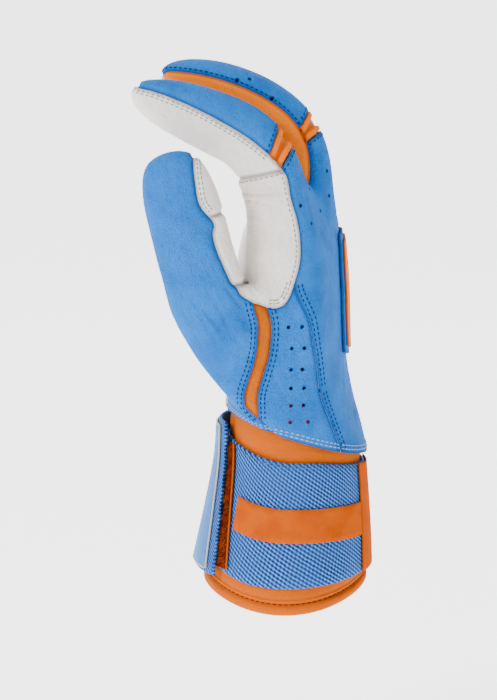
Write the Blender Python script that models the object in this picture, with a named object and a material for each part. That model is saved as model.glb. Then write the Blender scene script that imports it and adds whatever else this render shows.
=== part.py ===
"""A right-hand batting glove in its worn form, with the fingers bent towards the palm.

The hand's thumb side faces -Y, the back of the hand faces +X and the fingers point up (+Z).
The origin is the middle of the opening at the hem of the cuff. Units are metres.
"""

import math
from collections import namedtuple

import bmesh
import bpy
import numpy as np
from mathutils import Vector
from mathutils.bvhtree import BVHTree

# Sizes of the hand inside the glove
WEB_HEIGHT = 0.164
HAND_HALF_WIDTH = 0.044
HAND_HALF_DEPTH = 0.022
FINGER_WIDTH = 0.0202
FINGER_DEPTH = 0.0246
FINGER_REACH = 0.056
FINGER_RISE = 0.0430
THUMB_LENGTH = 0.0815
THUMB_WIDTH = 0.0290
THUMB_DEPTH = 0.0230

# Walls and gaps
LEATHER = 0.0012
SEAM_GAP = 0.0004
LAYER_GAP = 0.0004
LAP = 0.006
HEM_EASE = 0.0016
FOLD_DEPTH = 0.0016

# The wrist: the cuff and the strap
WRIST_HALF_DEPTH = 0.025
WRIST_HALF_WIDTH = 0.032
CUFF_WALL = 0.0026
CUFF_DIP = 0.006
BINDING = 0.0042
STRAP_WALL = 0.0015
STRAP_FOOT = 0.011
STRAP_HEIGHT = 0.048
STRAP_PALM_LIFT = 0.008
STRAP_BACK_LIFT = 0.0025
STRAP_PALM_RISE = 0.007
STRAP_BACK_FALL = 0.004
STRIPE_WIDTH = 0.013
STRIPE_WALL = 0.0006
TAB_WALL = 0.0015
TAB_LIFT = 0.002
TAB_OVER = 0.013
TAB_BORDER = 0.002
HOOK_WALL = 0.0011
HOOK_WIDTH = 0.0045

# The leather's lower edge, this far above the strap and higher at the palm than at the back
HEM_OVER_STRAP = 0.010
HEM_SLOPE = 0.31
HEM_HEIGHT = STRAP_FOOT + STRAP_HEIGHT + HEM_OVER_STRAP

# The patch on the back of the hand
PATCH_HEIGHT = 0.050
PATCH_WIDTH = 0.034
PATCH_MIDDLE = 0.123
PATCH_WALL = 0.0009
PATCH_FACE_WALL = 0.0006
PATCH_BORDER = 0.0025
PATCH_COLUMNS = 5
PATCH_ROWS = 7

# The thumb's gusset, the ribs of the knuckle inserts and the perforations
GUSSET_WIDTH = 0.005
RIB_WIDTH = 0.0022
RECESS = 0.0009
HOLE_WIDTH = 0.0016
HOLE_SIDES = 6

# How finely the shell is subdivided, and how far a control point of a ring stands outside the surface
SKIN_LEVEL = 1
CAGE_SWELL = 1.079
CORNER = 0.78
COLUMNS = 9
SNAP = 0.0005
WEB_SNAP = 0.04

# Rings of the hand from the wrist to the knuckles. Heights are shares of WEB_HEIGHT, widths of
# HAND_HALF_WIDTH, and the places of the palm and the back are shares of HAND_HALF_DEPTH.
HandRing = namedtuple("HandRing", "height width back_thumb back back_little palm_thumb palm palm_little")
HAND_RINGS = (
    HandRing(0.543, 0.88, 0.52, 1.12, 0.62, -1.30, -1.02, -0.75),
    HandRing(0.665, 0.95, 0.46, 1.08, 0.60, -1.05, -0.95, -0.80),
    HandRing(0.787, 1.00, 0.42, 1.04, 0.60, -0.66, -0.90, -0.80),
    HandRing(0.896, 1.00, 0.42, 0.98, 0.55, -0.50, -0.80, -0.70),
)

# The bend that all four fingers share, from the web to the tip: shares of a finger's reach, rise, depth
# and width. The seam is the place of the side seam, from -1 at the palm to 1 at the back.
FingerRow = namedtuple("FingerRow", "name reach rise depth width seam")
FINGER_ROWS = (
    FingerRow("web", 0.000, 0.000, 0.94, 1.00, 0.50),
    FingerRow("first", 0.030, 0.235, 0.98, 0.98, 0.42),
    FingerRow("knuckle", 0.125, 0.485, 1.00, 1.00, 0.08),
    FingerRow("second", 0.300, 0.640, 0.98, 0.98, 0.10),
    FingerRow("middle", 0.570, 0.795, 0.91, 0.96, 0.24),
    FingerRow("pad", 0.820, 0.915, 0.68, 0.88, 0.40),
    FingerRow("tip", 0.950, 0.985, 0.36, 0.62, 0.50),
)
FINGER_END = (1.0, 1.0)

# One row for each finger: its place across the hand and its base, as shares of HAND_HALF_WIDTH,
# HAND_HALF_DEPTH and WEB_HEIGHT, its reach, rise and girth as shares of the finger sizes, its extra arch
# as a share of FINGER_DEPTH, and the angles in degrees of the two edges of its knuckle insert.
Finger = namedtuple("Finger", "name across base height reach rise arch girth low_angle high_angle")
FINGERS = (
    Finger("index", -0.750, -0.200, 0.988, 1.00, 0.960, 0.00, 1.00, 60, 71),
    Finger("middle", -0.250, 0.330, 1.010, 1.03, 1.000, 0.12, 1.00, 37, 62),
    Finger("ring", 0.250, 0.220, 0.994, 0.90, 0.930, 0.04, 0.96, 37, 62),
    Finger("pinky", 0.725, -0.050, 0.945, 0.66, 0.930, 0.00, 0.88, 37, 62),
)

# The knuckle insert's edges and the palm's fold, as shares of FINGER_DEPTH from the knuckle's middle
INSERT_LOW = (0.53, -0.05)
INSERT_HIGH = (0.28, 0.16)
FOLD_POINT = (-0.28, -0.50)
FOLD_ANGLE = 13

# The thumb's base: shares of HAND_HALF_DEPTH, HAND_HALF_WIDTH and WEB_HEIGHT
THUMB_BASE = (-0.909, -0.818, 0.634)

# Rings of the thumb: shares of THUMB_LENGTH from its base, in depth, height and across, then
# shares of its width and depth, and the tilt of the ring in degrees.
ThumbRow = namedtuple("ThumbRow", "dorsal up across width depth tilt")
THUMB_ROWS = (
    ThumbRow(-0.105, 0.190, -0.080, 1.10, 1.00, 34),
    ThumbRow(-0.160, 0.385, -0.125, 1.01, 1.00, 18),
    ThumbRow(-0.205, 0.560, -0.155, 0.99, 0.96, 15),
    ThumbRow(-0.243, 0.715, -0.175, 0.97, 0.92, 13),
    ThumbRow(-0.280, 0.850, -0.187, 0.86, 0.76, 12),
    ThumbRow(-0.300, 0.925, -0.192, 0.56, 0.48, 12),
)
THUMB_END = (-0.307, 0.960, -0.193)

# The seam between the thumb's blue panel and its pale strip, with the notch at the joint: shares of
# THUMB_LENGTH up and of THUMB_WIDTH to the side of the thumb's middle line.
ThumbSeam = namedtuple("ThumbSeam", "up aside")
THUMB_SEAM = (
    ThumbSeam(0.300, 0.400),
    ThumbSeam(0.420, 0.350),
    ThumbSeam(0.520, 0.310),
    ThumbSeam(0.580, 0.320),
    ThumbSeam(0.620, 0.385),
    ThumbSeam(0.665, 0.300),
    ThumbSeam(0.715, 0.235),
    ThumbSeam(0.800, 0.260),
    ThumbSeam(0.890, 0.300),
    ThumbSeam(0.960, 0.340),
)
THUMB_NOTCH = 0.622

# Seams on the hand's thumb side: shares of WEB_HEIGHT up and of HAND_HALF_DEPTH towards the back
Seam = namedtuple("Seam", "height dorsal")
WING_EDGE = (
    Seam(0.744, -0.045),
    Seam(0.768, 0.060),
    Seam(0.803, 0.140),
    Seam(0.838, 0.214),
    Seam(0.880, 0.227),
    Seam(0.936, 0.180),
)
WING_FOOT = (
    Seam(0.799, -0.88),
    Seam(0.774, -0.81),
    Seam(0.751, -0.53),
    Seam(0.741, -0.29),
    Seam(0.739, -0.155),
    Seam(0.746, -0.045),
)
BACK_SEAM = (
    Seam(0.390, 0.96),
    Seam(0.416, 0.873),
    Seam(0.466, 0.745),
    Seam(0.527, 0.586),
    Seam(0.590, 0.530),
    Seam(0.653, 0.445),
    Seam(0.703, 0.390),
    Seam(0.745, 0.250),
    Seam(0.783, 0.127),
)
GUSSET_EDGE = (
    Seam(0.440, -0.49),
    Seam(0.470, -0.49),
    Seam(0.524, -0.51),
    Seam(0.567, -0.43),
    Seam(0.619, -0.31),
    Seam(0.673, -0.27),
    Seam(0.706, -0.27),
    Seam(0.746, -0.36),
)

# Perforations of the side panel: a pair at each height, as a share of the way from the leather's lower edge
# to the webs, at places towards the back
Holes = namedtuple("Holes", "height front rear")
SIDE_HOLES = (
    Holes(0.468, 0.03, 0.27),
    Holes(0.379, 0.09, 0.31),
    Holes(0.290, 0.08, 0.28),
    Holes(0.213, 0.08, 0.31),
    Holes(0.140, 0.08, 0.30),
    Holes(0.071, 0.07, 0.38),
)

# The seam across the palm at the ball of the thumb: heights and places across, as shares
BALL_SEAM_LOW = (0.44, -0.10)
BALL_SEAM_HIGH = (0.80, -0.60)
WING_LIMIT = -0.68

# Sections of the wrist, outside the cuff: heights are shares of the leather's hem height, the others are
# shares of WRIST_HALF_DEPTH and WRIST_HALF_WIDTH.
WristRow = namedtuple("WristRow", "height middle depth width")
WRIST_ROWS = (
    WristRow(0.00, -0.02, 1.30, 1.31),
    WristRow(0.20, 0.03, 1.27, 1.27),
    WristRow(0.50, 0.10, 1.16, 1.15),
    WristRow(0.80, 0.15, 1.05, 1.05),
    WristRow(1.02, 0.15, 1.00, 1.00),
    WristRow(1.20, 0.15, 0.96, 0.96),
)
WRIST_SIDES = 28

# Angles round the wrist in degrees, from the thumb side towards the palm
TAB_START = 60
TAB_END = 150
TAB_LEAN = 7
TAB_PATCH_START = 67
TAB_PATCH_END = 145
HOOK_END = 80
STRIPE_START = 46
STRIPE_END = -60
PANEL_START = -61
PANEL_END = -104

# The binding of the cuff's hem: shares of BINDING up and of CUFF_WALL out
BINDING_PROFILE = ((0.0, -0.45), (0.12, 0.1), (0.5, 0.24), (0.88, 0.1), (1.0, -0.35), (1.2, 0.0))
SMOOTH_ANGLE = 40

# Tags of the shell's regions
BACK, PALM, THUMB_SIDE, LITTLE_SIDE, THUMB = 0, 1, 2, 3, 4
FINGER_BACK, FINGER_PALM, FINGER_NEAR, FINGER_FAR = 10, 20, 30, 40

Finish = namedtuple("Finish", "colour roughness")
FINISHES = {
    "blue_leather": Finish((0.16, 0.40, 0.75, 1), 0.45),
    "pale_leather": Finish((0.80, 0.77, 0.73, 1), 0.55),
    "orange_fabric": Finish((0.85, 0.28, 0.04, 1), 0.75),
    "orange_print": Finish((0.80, 0.22, 0.0, 1), 0.6),
    "blue_webbing": Finish((0.12, 0.25, 0.60, 1), 0.8),
    "hook_tape": Finish((0.35, 0.05, 0.01, 1), 0.9),
    "pale_blue_patch": Finish((0.28, 0.45, 0.68, 1), 0.6),
}


def clear_scene():
    for obj in list(bpy.data.objects):
        bpy.data.objects.remove(obj, do_unlink=True)


def blend(a, b, share):
    return a + (b - a) * share


def material(name, finish):
    colour, roughness = FINISHES[finish]
    made = bpy.data.materials.new(name + "_" + finish)
    made.use_nodes = True
    shader = made.node_tree.nodes["Principled BSDF"]
    shader.inputs["Base Color"].default_value = colour
    shader.inputs["Roughness"].default_value = roughness
    shader.inputs["Metallic"].default_value = 0.0
    return made


def object_from(bm, name, finish):
    """An object of a closed mesh, with its faces turned outwards."""
    bmesh.ops.recalc_face_normals(bm, faces=bm.faces)
    if bm.calc_volume(signed=True) < 0:
        bmesh.ops.reverse_faces(bm, faces=bm.faces)
    mesh = bpy.data.meshes.new(name)
    bm.to_mesh(mesh)
    bm.free()
    mesh.shade_smooth()
    mesh.set_sharp_from_angle(angle=math.radians(SMOOTH_ANGLE))
    obj = bpy.data.objects.new(name, mesh)
    obj.data.materials.append(material(name, finish))
    bpy.context.scene.collection.objects.link(obj)
    return obj


def smooth_line(points, steps=4):
    """The points of a smooth curve through these points, with this many steps to each stretch."""
    ends = [2 * points[0] - points[1]] + list(points) + [2 * points[-1] - points[-2]]
    curve = []
    for a, b, c, d in zip(ends, ends[1:], ends[2:], ends[3:]):
        slope = c - a
        bend = 2 * a - 5 * b + 4 * c - d
        twist = 3 * b - a - 3 * c + d
        for step in range(steps):
            t = step / steps
            curve.append(b + (slope * t + bend * t**2 + twist * t**3) / 2)
    return curve + [points[-1]]


def seam_points(rows):
    return [Vector((row.dorsal * HAND_HALF_DEPTH, row.height * WEB_HEIGHT)) for row in rows]


def across_at(points):
    """A function that gives the first coordinate of the curve at a value of its second."""
    curve = sorted(smooth_line(points), key=lambda point: point.y)
    heights = [point.y for point in curve]
    places = [point.x for point in curve]
    return lambda height: float(np.interp(height, heights, places))


# The hand's shell


def finger_frame(finger, row):
    """The middle, the direction of the back, the half depth and the half width of a finger at a row."""
    middles = [finger_middle(finger, r.reach, r.rise) for r in FINGER_ROWS]
    middles.append(finger_middle(finger, *FINGER_END))
    index = FINGER_ROWS.index(row)
    middle = middles[index]
    along = (middles[index + 1] - middles[index - 1]).normalized() if index else Vector((0, 0, 1))
    back = Vector((along.z, 0, -along.x))
    half_depth = FINGER_DEPTH / 2 * row.depth * finger.girth
    half_width = FINGER_WIDTH / 2 * row.width * finger.girth
    return middle, back, half_depth, half_width


def finger_middle(finger, reach, rise):
    """The middle of a finger at shares of its reach and rise."""
    x = finger.base * HAND_HALF_DEPTH - reach * finger.reach * FINGER_REACH
    z = finger.height * WEB_HEIGHT + rise * finger.rise * FINGER_RISE
    z += finger.arch * FINGER_DEPTH * 4 * reach * (1 - reach)
    return Vector((x, finger.across * HAND_HALF_WIDTH, z))


def ring_points(middle, back, side, half_depth, half_width):
    """Eight points round a finger: the back, the far side, the palm and the near side."""
    deep = back * half_depth * CAGE_SWELL
    wide = side * half_width * CAGE_SWELL
    shares = ((1, -1), (1, 0), (1, 1), (0, 1), (-1, 1), (-1, 0), (-1, -1), (0, -1))
    points = []
    for down, over in shares:
        size = CORNER if down and over else 1.0
        points.append(middle + deep * down * size + wide * over * size)
    return points


def web_ring():
    """The points of the hand's top ring and of the webs between the fingers."""
    rings = []
    for finger in FINGERS:
        middle, back, half_depth, half_width = finger_frame(finger, FINGER_ROWS[0])
        rings.append(ring_points(middle, back, Vector((0, 1, 0)), half_depth, half_width))
    backs, palms, webs = [rings[0][0]], [rings[0][6]], []
    for near, far in zip(rings, rings[1:]):
        backs += [near[1], (near[2] + far[0]) / 2]
        palms += [near[5], (near[4] + far[6]) / 2]
        webs.append((near[3] + far[7]) / 2)
    backs += [rings[-1][1], rings[-1][2]]
    palms += [rings[-1][5], rings[-1][4]]
    return backs, palms, webs, rings[0][7], rings[-1][3]


def wrist_curve(column, size):
    """One measure of the wrist as a smooth function of the height."""
    rows = [Vector((getattr(row, column) * size, row.height * HEM_HEIGHT)) for row in WRIST_ROWS]
    return across_at(rows)


WRIST_MIDDLE = wrist_curve("middle", WRIST_HALF_DEPTH)
WRIST_DEPTH = wrist_curve("depth", WRIST_HALF_DEPTH)
WRIST_WIDTH = wrist_curve("width", WRIST_HALF_WIDTH)


def wrist_point(angle, height, out=0.0):
    """A point round the wrist, at an angle from the thumb side to the palm, this far outside the cuff."""
    x = WRIST_MIDDLE(height) - (WRIST_DEPTH(height) + out) * math.sin(angle)
    return Vector((x, -(WRIST_WIDTH(height) + out) * math.cos(angle), height))


def hem_point(angle, out, rise=0.0):
    """A point round the wrist at the leather's lower edge, which slopes down towards the back."""
    height = HEM_HEIGHT + rise
    for _ in range(3):
        height = HEM_HEIGHT + rise - wrist_point(angle, height, out).x * HEM_SLOPE
    return wrist_point(angle, height, out)


def wrist_ring():
    """The twenty points of the leather's lower edge, laid out as the hand's rings are."""
    out = SEAM_GAP * 2 + LEATHER + HEM_EASE
    step = math.pi / (COLUMNS + 1)
    angles = [step * (column + 1) for column in range(COLUMNS)]
    backs = [hem_point(-angle, out) for angle in angles]
    palms = [hem_point(angle, out) for angle in angles]
    return backs, palms, hem_point(0, out), hem_point(math.pi, out)


def hand_ring(row, share, top_backs):
    """The points of one ring of the hand. The share is its place between the wrist and the webs."""
    half_width = row.width * HAND_HALF_WIDTH
    step = math.pi / (COLUMNS + 1)
    backs, palms = [], []
    for column in range(COLUMNS):
        round_place = -math.cos(step * (column + 1))
        finger_place = top_backs[column].y / HAND_HALF_WIDTH
        place = blend(round_place, finger_place, share)
        edge_back = row.back_thumb if place < 0 else row.back_little
        edge_palm = row.palm_thumb if place < 0 else row.palm_little
        back = blend(row.back, edge_back, place**2) * HAND_HALF_DEPTH
        palm = blend(row.palm, edge_palm, place**2) * HAND_HALF_DEPTH
        height = row.height * WEB_HEIGHT
        backs.append(Vector((back, place * half_width, height)))
        palms.append(Vector((palm, place * half_width, height)))
    near = (backs[0] + palms[0]) / 2 + Vector((0, -0.05 * half_width, 0))
    far = (backs[-1] + palms[-1]) / 2 + Vector((0, 0.05 * half_width, 0))
    return backs, palms, near, far


def loop_of(backs, palms, near, far):
    return backs + [far] + palms[::-1] + [near]


def extrude_loop(bm, loop, places, tags):
    """Extrudes a closed loop to new places. Each new face gets the tag of its edge."""
    ring = list(zip(loop, loop[1:] + loop[:1]))
    edges = [bm.edges.get(pair) or bm.edges.new(pair) for pair in ring]
    made = bmesh.ops.extrude_edge_only(bm, edges=edges)["geom"]
    fresh = {item for item in made if isinstance(item, bmesh.types.BMVert)}
    following = []
    for vert, place in zip(loop, places):
        new = next(edge.other_vert(vert) for edge in vert.link_edges if edge.other_vert(vert) in fresh)
        new.co = place
        following.append(new)
    for edge, tag in zip(edges, tags):
        for face in edge.link_faces:
            if any(vert in fresh for vert in face.verts):
                face.material_index = tag
    return following


def close_tip(bm, loop, place, tags):
    """Closes a loop of eight with four faces round one point."""
    end = bm.verts.new(place)
    corners = ((7, 0, 1), (1, 2, 3), (3, 4, 5), (5, 6, 7))
    for (a, b, c), tag in zip(corners, tags):
        face = bm.faces.new((loop[a], loop[b], loop[c], end))
        face.material_index = tag
    return end


def thumb_base():
    dorsal, across, height = THUMB_BASE
    return Vector((dorsal * HAND_HALF_DEPTH, across * HAND_HALF_WIDTH, height * WEB_HEIGHT))


def add_thumb(bm, rings, dorsal):
    """Grows the thumb from the four faces at the thumb side of the palm."""
    low, middle, high = rings[1], rings[2], rings[3]
    last = len(low) - 1
    near, first, second = last, last - 1, last - 2
    loop = [
        high[first], high[near], middle[near], low[near],
        low[first], low[second], middle[second], high[second],
    ]
    bmesh.ops.delete(bm, geom=[middle[first]], context="VERTS")
    base = thumb_base()
    for row in THUMB_ROWS:
        tilt = math.radians(row.tilt)
        centre = base + Vector((row.dorsal, row.across, row.up)) * THUMB_LENGTH
        right = Vector((math.cos(tilt), 0, math.sin(tilt))) * THUMB_WIDTH / 2 * row.width * CAGE_SWELL
        near_side = Vector((0, -1, 0)) * THUMB_DEPTH / 2 * row.depth * CAGE_SWELL
        shares = ((1, 0), (1, 1), (0, 1), (-1, 1), (-1, 0), (-1, -1), (0, -1), (1, -1))
        places = []
        for aside, close in shares:
            size = CORNER if aside and close else 1.0
            places.append(centre + right * aside * size + near_side * close * size)
        loop = extrude_loop(bm, loop, places, [THUMB] * len(loop))
        for vert in loop:
            vert[dorsal] = 0.0
    end = Vector((THUMB_END[0], THUMB_END[2], THUMB_END[1]))
    close_tip(bm, loop, base + end * THUMB_LENGTH, [THUMB] * 4)


def add_finger(bm, number, loop, dorsal, web):
    """Extrudes one finger from its base loop to its tip."""
    finger = FINGERS[number]
    tags = [tag + number for tag in (FINGER_BACK, FINGER_FAR, FINGER_PALM, FINGER_NEAR) for _ in range(2)]
    has_far_web = number < len(FINGERS) - 1
    has_near_web = number > 0
    for row in FINGER_ROWS[1:]:
        middle, back, half_depth, half_width = finger_frame(finger, row)
        places = ring_points(middle, back, Vector((0, 1, 0)), half_depth, half_width)
        loop = extrude_loop(bm, loop, places, tags)
        for vert, value in zip(loop, (1, 1, 1, 0, -1, -1, -1, 0)):
            vert[dorsal] = value
            vert[web] = 0.0
        loop[3][web] = 1.0 if has_far_web else 0.0
        loop[7][web] = 1.0 if has_near_web else 0.0
    end = finger_middle(finger, *FINGER_END)
    tip_tags = [FINGER_BACK + number, FINGER_BACK + number, FINGER_PALM + number, FINGER_PALM + number]
    close_tip(bm, loop, end, tip_tags)[dorsal] = 0.0


def hand_cage():
    """The control mesh of the whole hand, open at the wrist."""
    bm = bmesh.new()
    dorsal = bm.verts.layers.float.new("dorsal")
    web = bm.verts.layers.float.new("web")
    top_backs, top_palms, webs, top_near, top_far = web_ring()
    shapes = [wrist_ring()]
    for number, row in enumerate(HAND_RINGS):
        shapes.append(hand_ring(row, (number + 1) / (len(HAND_RINGS) + 1), top_backs))
    shapes.append((top_backs, top_palms, top_near, top_far))
    loops = [loop_of(*shape) for shape in shapes]
    sides = len(loops[0])
    loop = bmesh.ops.create_circle(bm, segments=sides, radius=HAND_HALF_WIDTH)["verts"]
    for vert, place in zip(loop, loops[0]):
        vert.co = place
    tags = [BACK] * (COLUMNS - 1) + [LITTLE_SIDE] * 2 + [PALM] * (COLUMNS - 1) + [THUMB_SIDE] * 2
    rings = [loop]
    for places in loops[1:]:
        rings.append(extrude_loop(bm, rings[-1], places, tags))
    values = [1.0] * COLUMNS + [0.0] + [-1.0] * COLUMNS + [0.0]
    for ring in rings:
        for vert, value in zip(ring, values):
            vert[dorsal] = value
    add_thumb(bm, rings, dorsal)
    top = rings[-1]
    backs, far, palms, near = top[:COLUMNS], top[COLUMNS], top[COLUMNS + 1 : -1][::-1], top[-1]
    middles = [near] + [bm.verts.new(place) for place in webs] + [far]
    for vert in middles[1:-1]:
        vert[web] = 1.0
    for column in range(2, COLUMNS - 1, 2):
        backs[column][web] = 0.65
        palms[column][web] = 0.30
    for number in range(len(FINGERS)):
        a = 2 * number
        loop = [backs[a], backs[a + 1], backs[a + 2], middles[number + 1]]
        loop += [palms[a + 2], palms[a + 1], palms[a], middles[number]]
        add_finger(bm, number, loop, dorsal, web)
    bmesh.ops.recalc_face_normals(bm, faces=bm.faces)
    return bm


def smooth_skin(level):
    """The cage subdivided, with its tags and its measures carried along."""
    cage = hand_cage()
    mesh = bpy.data.meshes.new("cage")
    cage.to_mesh(mesh)
    cage.free()
    obj = bpy.data.objects.new("cage", mesh)
    bpy.context.scene.collection.objects.link(obj)
    modifier = obj.modifiers.new("subdivide", "SUBSURF")
    modifier.levels = level
    modifier.render_levels = level
    graph = bpy.context.evaluated_depsgraph_get()
    finished = bpy.data.meshes.new_from_object(obj.evaluated_get(graph))
    bpy.data.objects.remove(obj, do_unlink=True)
    bm = bmesh.new()
    bm.from_mesh(finished)
    bpy.data.meshes.remove(finished)
    bpy.data.meshes.remove(mesh)
    return bm


# Seams: measures over the shell that are zero along a seam


def wing_edge():
    """The pale wing's edge and the index finger's side seam: one curve, as places at heights."""
    index = FINGERS[0]
    points = seam_points(WING_EDGE)
    for row in FINGER_ROWS:
        middle, back, half_depth, _ = finger_frame(index, row)
        place = middle + back * half_depth * row.seam
        points.append(Vector((place.x, place.z)))
    return across_at(points)


def wing_foot():
    points = [point.yx for point in seam_points(WING_FOOT)]
    return across_at(points)


def wing_measure():
    """Above zero on the pale wing, which lies left of its edge and above its foot."""
    edge, foot = wing_edge(), wing_foot()
    return lambda place: min(edge(place.z) - place.x, place.z - foot(place.x))


def seam_measure(rows, shift=0.0):
    line = across_at(seam_points(rows))
    return lambda place: place.x - line(place.z) - shift


def thumb_measure():
    """Above zero on the thumb's pale strip."""
    line = across_at([thumb_place(row.up, row.aside) for row in THUMB_SEAM])
    return lambda place: place.x - line(place.z)


def thumb_place(up, aside):
    """The depth and the height of a point beside the thumb's middle line."""
    ups = [0.0] + [row.up for row in THUMB_ROWS] + [THUMB_END[1]]
    dorsals = [0.0] + [row.dorsal for row in THUMB_ROWS] + [THUMB_END[0]]
    base = thumb_base()
    middle = base.x + float(np.interp(up, ups, dorsals)) * THUMB_LENGTH
    return Vector((middle + aside * THUMB_WIDTH, base.z + up * THUMB_LENGTH))


def notch_measure():
    height = thumb_base().z + THUMB_NOTCH * THUMB_LENGTH
    slope = math.tan(math.radians(THUMB_ROWS[2].tilt))
    middle = thumb_place(THUMB_NOTCH, 0).x
    return lambda place: place.z - height - (place.x - middle) * slope


def ball_measure():
    """Above zero on the palm, below zero on the ball of the thumb."""
    heights = [BALL_SEAM_LOW[0] * WEB_HEIGHT, BALL_SEAM_HIGH[0] * WEB_HEIGHT]
    places = [BALL_SEAM_LOW[1] * HAND_HALF_WIDTH, BALL_SEAM_HIGH[1] * HAND_HALF_WIDTH]
    return lambda place: place.y - float(np.interp(place.z, heights, places))


def finger_line(finger, point, angle):
    """The signed distance from a line across the knuckle, above zero towards the fingertip."""
    knuckle = next(row for row in FINGER_ROWS if row.name == "knuckle")
    middle = finger_frame(finger, knuckle)[0]
    size = FINGER_DEPTH * finger.girth
    start = middle + Vector((point[0] * size, 0, point[1] * size))
    turn = math.radians(angle)
    out = Vector((-math.sin(turn), 0, math.cos(turn)))
    return lambda place: (place - start).dot(out)


def cut_along(bm, faces, measure, snap=SNAP):
    """Splits these faces along the line where the measure is zero."""
    faces = list(faces)
    verts = {vert for face in faces for vert in face.verts}
    values = {vert: measure(vert.co) for vert in verts}
    on_line = {vert for vert, value in values.items() if abs(value) < snap}
    for edge in {edge for face in faces for edge in face.edges}:
        a, b = edge.verts
        if a in on_line or b in on_line or values[a] * values[b] > 0:
            continue
        share = values[a] / (values[a] - values[b])
        _, vert = bmesh.utils.edge_split(edge, a, share)
        on_line.add(vert)
    for face in faces:
        corners = list(face.verts)
        crossed = [number for number, vert in enumerate(corners) if vert in on_line]
        if len(crossed) != 2 or crossed[1] - crossed[0] in (1, len(corners) - 1):
            continue
        bmesh.utils.face_split(face, corners[crossed[0]], corners[crossed[1]])


def middle_of(face):
    return face.calc_center_median()


def mean(face, layer):
    return sum(vert[layer] for vert in face.verts) / len(face.verts)


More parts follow.
